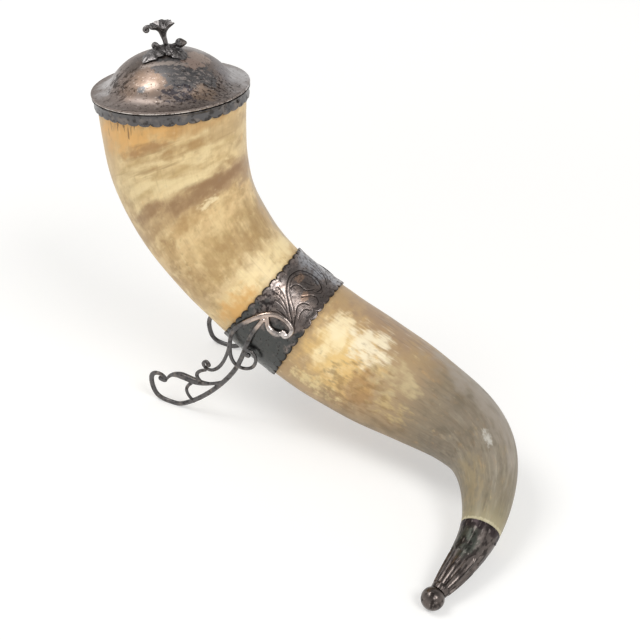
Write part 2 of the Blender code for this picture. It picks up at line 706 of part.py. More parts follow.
def lid_matrix(line):
    """The lid's frame: on the mouth's axis at the flange's underside, with Z up the axis."""
    up = -Vector(line.ahead[0])
    seat = Vector(line.centre[0]) + up * LID_SEAT
    across = Vector((1.0, 0.0, 0.0))
    across = (across - across.dot(up) * up).normalized()
    turn = Matrix((across, up.cross(across), up)).transposed()
    return Matrix.Translation(seat * MM) @ turn.to_4x4()


def main():
    """Build every part of the drinking horn."""
    clear_scene()
    shop = Workshop()
    line = HornLine()
    horn_material = make_material("polished_horn", HORN_COLOUR, 0.4, 0.0)
    plate = make_material("tarnished_silver_plate", PLATE_COLOUR, 0.32, 1.0)
    dark_plate = make_material("dark_silver_plate", DARK_PLATE_COLOUR, 0.38, 1.0)
    horn = make_horn(shop, line, horn_material)
    make_collar(shop, line, dark_plate)
    make_band(shop, line, plate)
    lid_axis = shop.empty("lid_axis", lid_matrix(line), shop.stand)
    make_lid(shop, lid_axis, plate)
    make_finial(shop, lid_axis, dark_plate)
    make_feet(shop, line, dark_plate)
    make_tip(shop, line, dark_plate)
    make_pins(shop, line, dark_plate, horn)


main()
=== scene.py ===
"""Looks of a mounted drinking horn, dressed over its solid frame.

The horn is a bent natural horn with a scalloped rim collar, a domed lid with a flower finial, a belly
band with engraved scrolls, two openwork scroll feet and a fluted tip cap that ends in a ball. Sizes are
in millimetres and become metres when a mesh is made.
"""

from __future__ import annotations

import functools
import logging
import math
from dataclasses import dataclass
from enum import Enum
from typing import ClassVar, Mapping, Sequence

import bmesh
import bpy
import numpy as np
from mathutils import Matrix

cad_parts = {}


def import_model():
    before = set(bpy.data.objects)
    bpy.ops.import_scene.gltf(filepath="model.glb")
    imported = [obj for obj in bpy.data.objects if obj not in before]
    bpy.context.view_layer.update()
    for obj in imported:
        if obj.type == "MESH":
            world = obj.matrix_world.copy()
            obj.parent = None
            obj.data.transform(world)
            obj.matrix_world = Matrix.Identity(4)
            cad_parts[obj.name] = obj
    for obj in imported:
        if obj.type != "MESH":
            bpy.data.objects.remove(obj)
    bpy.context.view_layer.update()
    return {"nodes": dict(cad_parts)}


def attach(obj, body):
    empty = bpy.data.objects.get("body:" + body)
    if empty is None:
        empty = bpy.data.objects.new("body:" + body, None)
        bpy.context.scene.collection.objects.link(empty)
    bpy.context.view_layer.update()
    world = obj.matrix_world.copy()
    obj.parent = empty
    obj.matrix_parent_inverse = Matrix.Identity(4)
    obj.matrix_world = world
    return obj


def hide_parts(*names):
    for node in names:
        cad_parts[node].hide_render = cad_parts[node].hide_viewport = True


LOG = logging.getLogger("drinking_horn")
MM = 0.001
TURN = 2.0 * math.pi
QUARTER = 0.5 * math.pi
EVERYWHERE = math.inf

# How near points merge and how short an edge is dropped, in metres, and the angle that stays sharp.
MERGE_WITHIN = 2e-6
EDGE_UNDER = 1e-6
SHARP_FROM = math.radians(40.0)

# The circle that the horn's pattern places lie on, and how far its growth bands lean near the mouth. The
# lean fades between two distances from it.
GIRTH = 36.0
SLANT = 0.45
SLANT_FADE = (60.0, 130.0)

# Rings that round off each end of a tube, and how far a round of smoothing draws a casting's points
# towards their neighbours.
TUBE_END_ROWS = 4
CAST_SOFTENING = 0.5

Array = np.ndarray
Pair = tuple[float, float]
Point = tuple[float, float, float]
Pattern = tuple[float, Point, float, float]
Strand = tuple[tuple[tuple[float, ...], ...], tuple[float, ...]]


class Body(Enum):
    """The two bodies that pieces ride on."""

    HORN = "horn"
    LID = "lid"


class Slot(Enum):
    """The record's material slots."""

    HORN = "horn"
    PLATE = "plate"
    DARK_PLATE = "dark_plate"


class Coordinates(Enum):
    """What a finish's patterns follow: the frame's millimetres, or a piece's own length and girth."""

    FRAME = "frame"
    GRAIN = "grain"


def smooth_step(value: Array, start: float, full: float) -> Array:
    """Rise from 0 at start to 1 at full along the cubic 3t2 - 2t3.

    Args:
        value: Where to read the step.
        start: Where it begins to rise.
        full: Where it is fully up.

    Returns:
        The step's height at each value.
    """
    part = np.clip((value - start) / (full - start), 0.0, 1.0)
    return part * part * (3.0 - 2.0 * part)


def spline(rows: Sequence[Sequence[float]], count: int) -> Array:
    """Read the natural cubic spline through rows at evenly spaced row numbers.

    Args:
        rows: Points or other values that the curve passes through.
        count: How many rows to return.

    Returns:
        An array of count rows.
    """
    knots = np.asarray(rows, float)
    last = len(knots) - 1
    system = np.eye(last + 1)
    inner = np.arange(1, last)
    system[inner, inner - 1] = 1.0
    system[inner, inner] = 4.0
    system[inner, inner + 1] = 1.0
    pull = np.zeros_like(knots)
    pull[1:last] = 6.0 * (knots[:-2] - 2.0 * knots[1:-1] + knots[2:])
    bend = np.linalg.solve(system, pull)
    place = np.linspace(0.0, last, count)
    first = np.clip(place.astype(int), 0, last - 1)
    along = (place - first)[:, None]
    back = 1.0 - along
    straight = back * knots[first] + along * knots[first + 1]
    curved = (back**3 - back) * bend[first] + (along**3 - along) * bend[first + 1]
    return straight + curved / 6.0


def spread(values: Sequence[float], count: int) -> Array:
    """Read values at count even steps from the first to the last, straight between them."""
    return np.interp(np.linspace(0.0, 1.0, count), np.linspace(0.0, 1.0, len(values)), values)


def around(columns: int) -> Array:
    """Evenly spaced bearings round a full turn, in radians, as one row."""
    return np.arange(columns)[None, :] * TURN / columns


def across_repeat(bearing: Array, count: int) -> Array:
    """Where a bearing lies across its repeat, of count in a turn, from -1 to 1."""
    return 2.0 * np.mod(bearing * count / TURN, 1.0) - 1.0


def lobes(bearing: Array, count: int) -> Array:
    """Half-round scallops: 1 at a lobe's tip and 0 in the notches, along the half circle sqrt(1 - x2)."""
    return np.sqrt(np.clip(1.0 - across_repeat(bearing, count) ** 2, 0.0, 1.0))


def unit(vectors: Array) -> Array:
    """Scale vectors to length 1."""
    return vectors / np.linalg.norm(vectors, axis=-1, keepdims=True)


def grid_of(x: Array, y: Array, z: Array | float) -> Array:
    """Points from coordinates that broadcast against each other."""
    return np.stack(np.broadcast_arrays(x, y, z), axis=-1)


def turned(outline: Array, columns: int) -> Array:
    """Turn rows of radius and height round the third axis: (r cos b, r sin b, h) at each bearing b."""
    bearing = around(columns)
    return grid_of(outline[:, :1] * np.cos(bearing), outline[:, :1] * np.sin(bearing), outline[:, 1:])


def rotated(points: Array, degrees: float) -> Array:
    """Turn points about the third axis: (x cos a - y sin a, x sin a + y cos a, z).

    Args:
        points: Points along the last axis.
        degrees: The angle, towards the second axis.

    Returns:
        The turned points.
    """
    sine = math.sin(math.radians(degrees))
    cosine = math.cos(math.radians(degrees))
    x, y, z = np.moveaxis(points, -1, 0)
    return grid_of(x * cosine - y * sine, x * sine + y * cosine, z)


def tube(path: Array, radii: Array, columns: int, side: Point) -> Array:
    """Carry a circle along a path, with round ends.

    Each ring is centre + r (cos a n + sin a s), where s is the fixed side direction made square to the
    path and n is square to both. The end rings shrink along half circles.

    Args:
        path: Points along the middle.
        radii: The radius at each point.
        columns: Points in each ring.
        side: A direction that the path doesn't run along.

    Returns:
        A grid of points.
    """
    ahead = unit(np.gradient(path, axis=0))
    swing = np.linspace(0.0, QUARTER, TUBE_END_ROWS + 1)[:-1]
    start = path[0] - ahead[0] * radii[0] * np.cos(swing)[:, None]
    stop = path[-1] + ahead[-1] * radii[-1] * np.cos(swing)[::-1, None]
    centre = np.concatenate((start, path, stop))
    radius = np.concatenate((radii[0] * np.sin(swing), radii, radii[-1] * np.sin(swing)[::-1]))
    ends = [np.repeat(row, TUBE_END_ROWS, axis=0) for row in (ahead[:1], ahead[-1:])]
    ahead = np.concatenate((ends[0], ahead, ends[1]))
    flank = unit(np.array(side) - (ahead @ side)[:, None] * ahead)
    normal = np.cross(flank, ahead)
    angle = around(columns)[..., None]
    outward = np.cos(angle) * normal[:, None] + np.sin(angle) * flank[:, None]
    return centre[:, None] + radius[:, None, None] * outward


def grain_of(along: Array, bearing: Array, girth: float) -> Array:
    """Pattern places that follow a round piece: bearing on a circle of radius girth, and distance along it.

    Near the mouth the growth bands lie askew, so the distance gains SLANT times the height on the circle.

    Args:
        along: Distances from the mouth.
        bearing: Bearings from the near side towards the crown, in radians.
        girth: The circle's radius.

    Returns:
        One row of three for each point of the piece's grid.
    """
    crown = girth * np.sin(bearing)
    slanted = along + SLANT * (1.0 - smooth_step(along, *SLANT_FADE)) * crown
    return grid_of(girth * np.cos(bearing), crown, slanted).reshape(-1, 3)


def weld(mesh: bpy.types.Mesh) -> None:
    """Merge doubles, drop faces with no area, turn the faces outwards and shade them smooth.

    Args:
        mesh: The mesh to finish.
    """
    work = bmesh.new()
    work.from_mesh(mesh)
    bmesh.ops.remove_doubles(work, verts=work.verts, dist=MERGE_WITHIN)
    bmesh.ops.dissolve_degenerate(work, edges=work.edges, dist=EDGE_UNDER)
    bmesh.ops.recalc_face_normals(work, faces=work.faces)
    work.to_mesh(mesh)
    work.free()
    mesh.shade_smooth()
    mesh.set_sharp_from_angle(angle=SHARP_FROM)


def make_mesh(name: str, grids: Sequence[Array], **fields: Array) -> bpy.types.Mesh:
    """Lay quads over grids of points whose columns close round, and weld their seams and poles.

    Args:
        name: The mesh's name.
        grids: Arrays of (rows, columns, 3) in millimetres.
        fields: Values or vectors for each point of all grids, in order, by attribute name.

    Returns:
        The mesh, with its faces pointing outwards.
    """
    points = np.concatenate([grid.reshape(-1, 3) for grid in grids])
    quads = []
    start = 0
    for grid in grids:
        index = start + np.arange(grid.shape[0] * grid.shape[1]).reshape(grid.shape[:2])
        beside = np.roll(index, -1, axis=1)
        quads.append(np.stack((index[:-1], beside[:-1], beside[1:], index[1:]), axis=-1).reshape(-1, 4))
        start += index.size
    mesh = bpy.data.meshes.new(name)
    mesh.from_pydata((points * MM).tolist(), [], np.concatenate(quads).tolist())
    for label, values in fields.items():
        kind, key = ("FLOAT", "value") if values.ndim == 1 else ("FLOAT_VECTOR", "vector")
        mesh.attributes.new(label, kind, "POINT").data.foreach_set(key, values.astype(np.float32).ravel())
    weld(mesh)
    return mesh


def mesh_points(mesh: bpy.types.Mesh) -> Array:
    """Read a mesh's points.

    Args:
        mesh: The mesh, in metres.

    Returns:
        One row of three for each point, in millimetres.
    """
    points = np.empty(len(mesh.vertices) * 3)
    mesh.vertices.foreach_get("co", points)
    return points.reshape(-1, 3) / MM


def move_points(mesh: bpy.types.Mesh, points: Array) -> None:
    """Put a mesh's points at new places in millimetres, and weld it."""
    mesh.vertices.foreach_set("co", (points * MM).ravel())
    weld(mesh)


def stand(name: str, data: bpy.types.ID) -> bpy.types.Object:
    """Stand a new object in the scene.

    Args:
        name: Its name.
        data: Its mesh, light or camera.

    Returns:
        The object.
    """
    thing = bpy.data.objects.new(name, data)
    bpy.context.scene.collection.objects.link(thing)
    return thing


def cast_mesh(name: str, grids: Sequence[Array], grain: float, smoothing: int) -> bpy.types.Mesh:
    """Fuse overlapping closed shapes to one skin with soft inner corners, as a casting has them.

    Args:
        name: The mesh's name.
        grids: Closed grids in millimetres.
        grain: The size of the fused skin's faces.
        smoothing: How many rounds of smoothing soften the corners.

    Returns:
        The fused mesh.
    """
    rough = stand(name, make_mesh(name, grids))
    fuse = rough.modifiers.new("fuse", "REMESH")
    fuse.mode = "VOXEL"
    fuse.voxel_size = grain * MM
    soften = rough.modifiers.new("soften", "SMOOTH")
    soften.factor = CAST_SOFTENING
    soften.iterations = smoothing
    bpy.context.view_layer.update()
    mesh = bpy.data.meshes.new_from_object(rough.evaluated_get(bpy.context.evaluated_depsgraph_get()))
    unfused = rough.data
    bpy.data.objects.remove(rough, do_unlink=True)
    bpy.data.meshes.remove(unfused)
    mesh.name = name
    return mesh


def add_piece(
    mesh: bpy.types.Mesh, material: bpy.types.Material, body: Body, node: str
) -> None:
    """Make a mesh a piece of the object that rides on a body and stands for a solid.

    Args:
        mesh: The finished mesh.
        material: Its finish.
        body: The body that it moves with.
        node: The solid that it stands for.
    """
    mesh.materials.clear()
    mesh.materials.append(material)
    piece = stand(mesh.name, mesh)
    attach(piece, body.value)
    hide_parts(node)
    LOG.info("%s: %d faces", piece.name, len(mesh.polygons))


def hex_to_linear(colour: str) -> tuple[float, float, float, float]:
    """Turn an sRGB hex colour to linear light.

    A dark part is divided by 12.92. Any other is ((part + 0.055) / 1.055) to the power 2.4.

    Args:
        colour: A hash sign and six hex digits.

    Returns:
        Red, green, blue and an alpha of 1.
    """
    parts = [int(colour[place:place + 2], 16) / 255.0 for place in (1, 3, 5)]
    line = [part / 12.92 if part <= 0.04045 else ((part + 0.055) / 1.055) ** 2.4 for part in parts]
    return (line[0], line[1], line[2], 1.0)


def feed(tree: bpy.types.NodeTree, socket: bpy.types.NodeSocket, value: object) -> None:
    """Link an input to a socket, or set its value.

    Args:
        tree: The node tree.
        socket: The input.
        value: An output to link from, or a value.
    """
    if isinstance(value, bpy.types.NodeSocket):
        tree.links.new(value, socket)
    else:
        socket.default_value = value


def add_node(
    tree: bpy.types.NodeTree, kind: str, inputs: Mapping[int | str, object] | None = None,
    output: int | str = 0, **settings: object
) -> bpy.types.NodeSocket:
    """Add a node, set its properties, and link or set its inputs.

    Args:
        tree: The node tree.
        kind: The node's type.
        inputs: Sockets to link from, or values, by input name or number.
        output: The output to hand back, by name or number.
        settings: The node's properties.

    Returns:
        That output.
    """
    node = tree.nodes.new(kind)
    for name, value in settings.items():
        setattr(node, name, value)
    for key, value in (inputs or {}).items():
        feed(tree, node.inputs[key], value)
    return node.outputs[output]


@dataclass(frozen=True)
class Region:
    """Where a layer shows: inside an ellipsoid round a centre, whose edge fades.

    A reach of EVERYWHERE along two ways makes it a slab between two planes.
    """

    centre: Point
    reach: Point


@dataclass(frozen=True)
class Layer:
    """A stain, bloom or streak over a finish: blotches of one size that show between two noise values.

    The shift moves its noise, so that no two layers have the same blotches. The feather frays its edges
    along the grain's fibres.
    """

    colour: str
    size: float
    low: float
    high: float
    strength: float
    shift: float
    where: Region | None = None
    detail: float = 6.0
    stretch: Point = (1.0, 1.0, 1.0)
    roughness: float | None = None
    feather: float = 0.0


@dataclass(frozen=True)
class Finish:
    """A material's own colour, gloss and layers, the relief of its surface, and how gritty its noise is.

    A ramp takes the place of the colour. It holds distances along the horn and the colours there, and
    sways to and fro by ramp_sway.
    """

    name: str
    roughness: float
    metallic: float
    layers: tuple[Layer, ...]
    relief: float
    relief_size: float
    colour: str = ""
    relief_stretch: Point = (1.0, 1.0, 1.0)
    coordinates: Coordinates = Coordinates.FRAME
    ramp: tuple[tuple[float, str], ...] = ()
    ramp_sway: float = 0.0
    coat: float = 0.0
    coat_roughness: float = 0.3
    grit: float = 0.5
    engraving: str = ""


class MaterialMaker:
    """Builds a finish as shader nodes.

    A pattern is a size in millimetres, a stretch, a detail and a shift. Inputs have the nodes' own
    numbers: a map range takes a value, its old range and its new one. A mix takes its share as 0, plain
    values as 2 and 3, and colours as 6 and 7, which come out at 2.
    """

    # Real fibres are finer than a pixel, so they are drawn coarser.
    fibres: Pattern = (1.3, (1.0, 1.0, 0.07), 3.0, 9.0)
    sways: Pattern = (24.0, (1.0, 1.0, 0.8), 3.0, 31.0)
    shift_way: Point = (1.0, 1.7, 0.6)
    relief_detail: float = 3.0
    relief_shift: float = 7.0
    # Between these shares of a region's reach its layer's noise falls by the amount below.
    region_fade: Pair = (0.25, 1.25)
    region_outside: float = -0.5

    def __init__(self, finish: Finish) -> None:
        """Start the material and its pattern places in millimetres.

        Args:
            finish: What to build.
        """
        self.finish = finish
        self.material = bpy.data.materials.new(finish.name)
        self.material.use_nodes = True
        self.tree = self.material.node_tree
        self.add = functools.partial(add_node, self.tree)
        if finish.coordinates is Coordinates.GRAIN:
            self.place = self.add("ShaderNodeAttribute", output="Vector", attribute_name="grain")
        else:
            metres = self.add("ShaderNodeTexCoord", output="Object")
            per_metre = (1.0 / MM, 1.0 / MM, 1.0 / MM)
            self.place = self.add("ShaderNodeVectorMath", {0: metres, 1: per_metre}, operation="MULTIPLY")
        self.fibre = self.noise(*self.fibres)

    def noise(self, size: float, stretch: Point, detail: float, shift: float) -> bpy.types.NodeSocket:
        """Cloudy noise.

        Args:
            size: Its blotches' size in millimetres, before they are stretched.
            stretch: What the places are multiplied by, so that less than 1 draws the blotches out.
            detail: How many finer layers of noise it has.
            shift: How far it is moved.

        Returns:
            The noise's value.
        """
        offset = tuple(shift * part for part in self.shift_way)
        moved = self.add("ShaderNodeVectorMath", {0: self.place, 1: offset}, operation="ADD")
        vector = self.add("ShaderNodeVectorMath", {0: moved, 1: stretch}, operation="MULTIPLY")
        inputs = {"Vector": vector, "Scale": 1.0 / size, "Detail": detail, "Roughness": self.finish.grit}
        return self.add("ShaderNodeTexNoise", inputs)

    def distance(self, where: Region) -> bpy.types.NodeSocket:
        """How far each place is from a region's centre, where 1 is the region's reach.

        Args:
            where: The region.

        Returns:
            The length of the way from the centre, after each part is divided by the reach.
        """
        away = self.add("ShaderNodeVectorMath", {0: self.place, 1: where.centre}, operation="SUBTRACT")
        shares = tuple(1.0 / size for size in where.reach)
        scaled = self.add("ShaderNodeVectorMath", {0: away, 1: shares}, operation="MULTIPLY")
        return self.add("ShaderNodeVectorMath", {0: scaled}, "Value", operation="LENGTH")

    def mask(self, layer: Layer) -> bpy.types.NodeSocket:
        """How strongly a layer shows at each place, from 0 to its strength.

        Args:
            layer: The layer.

        Returns:
            Its noise, frayed and faded, as a smooth step from the low to the high value.
        """
        value = self.noise(layer.size, layer.stretch, layer.detail, layer.shift)
        if layer.feather:
            inputs = {0: self.fibre, 1: layer.feather, 2: -0.5 * layer.feather}
            frayed = self.add("ShaderNodeMath", inputs, operation="MULTIPLY_ADD")
            value = self.add("ShaderNodeMath", {0: value, 1: frayed}, operation="ADD")
        if layer.where:
            start, end = self.region_fade
            inputs = {0: self.distance(layer.where), 1: start, 2: end, 3: 0.0, 4: self.region_outside}
            fall = self.add("ShaderNodeMapRange", inputs, interpolation_type="SMOOTHSTEP")
            value = self.add("ShaderNodeMath", {0: value, 1: fall}, operation="ADD")
        inputs = {0: value, 1: layer.low, 2: layer.high, 3: 0.0, 4: layer.strength}
        return self.add("ShaderNodeMapRange", inputs, interpolation_type="SMOOTHSTEP")

    def ground(self) -> object:
        """The colour under the layers: plain, or bands along the horn that sway a little.

        Returns:
            A colour, or the socket that gives it.
        """
        finish = self.finish
        if not finish.ramp:
            return hex_to_linear(finish.colour)
        along = self.add("ShaderNodeSeparateXYZ", {0: self.place}, 2)
        inputs = {0: self.noise(*self.sways), 1: finish.ramp_sway, 2: along}
        swayed = self.add("ShaderNodeMath", inputs, operation="MULTIPLY_ADD")
        longest = finish.ramp[-1][0]
        inputs = {0: swayed, 1: 1.0 / longest, 2: -0.5 * finish.ramp_sway / longest}
        share = self.add("ShaderNodeMath", inputs, operation="MULTIPLY_ADD")
        colour = self.add("ShaderNodeValToRGB", {0: share})
        bands = colour.node.color_ramp.elements
        while len(bands) < len(finish.ramp):
            bands.new(1.0)
        for band, (place, shade) in zip(bands, finish.ramp):
            band.position = place / longest
            band.color = hex_to_linear(shade)
        return colour

    def build(self) -> bpy.types.Material:
        """Lay the layers over the ground and give colour, roughness and relief to the shader.

        Returns:
            The finished material.
        """
        finish = self.finish
        colour = self.ground()
        roughness: object = finish.roughness
        coats = [(self.mask(layer), layer.colour, layer.roughness) for layer in finish.layers]
        if finish.engraving:
            cut = self.add("ShaderNodeAttribute", output="Fac", attribute_name="engraved")
            coats.append((cut, finish.engraving, None))
        for mask, shade, gloss in coats:
            inputs = {0: mask, 6: colour, 7: hex_to_linear(shade)}
            colour = self.add("ShaderNodeMix", inputs, 2, data_type="RGBA")
            if gloss is not None:
                roughness = self.add("ShaderNodeMix", {0: mask, 2: roughness, 3: gloss}, data_type="FLOAT")
        height = self.noise(finish.relief_size, finish.relief_stretch, self.relief_detail, self.relief_shift)
        inputs = {"Height": height, "Strength": 1.0, "Distance": finish.relief * MM}
        sockets = {
            "Base Color": colour, "Roughness": roughness, "Metallic": finish.metallic,
            "Coat Weight": finish.coat, "Coat Roughness": finish.coat_roughness,
            "Normal": self.add("ShaderNodeBump", inputs),
        }
        for name, value in sockets.items():
            feed(self.tree, self.tree.nodes["Principled BSDF"].inputs[name], value)
        return self.material


def on_horn(along: float, bearing: float, *reach: float) -> Region:
    """A region in the horn's grain.

    Args:
        along: Millimetres from the mouth to its centre.
        bearing: Degrees up from the near side to its centre.
        reach: How far it goes towards the near side, towards the crown and along the horn.

    Returns:
        The region.
    """
    place = grain_of(np.array(along), np.array(math.radians(bearing)), GIRTH)[0]
    return Region(tuple(place.tolist()), reach)


# In the layers below, the colour is followed by the size, the low and the high noise value, the strength,
# the shift and the region.

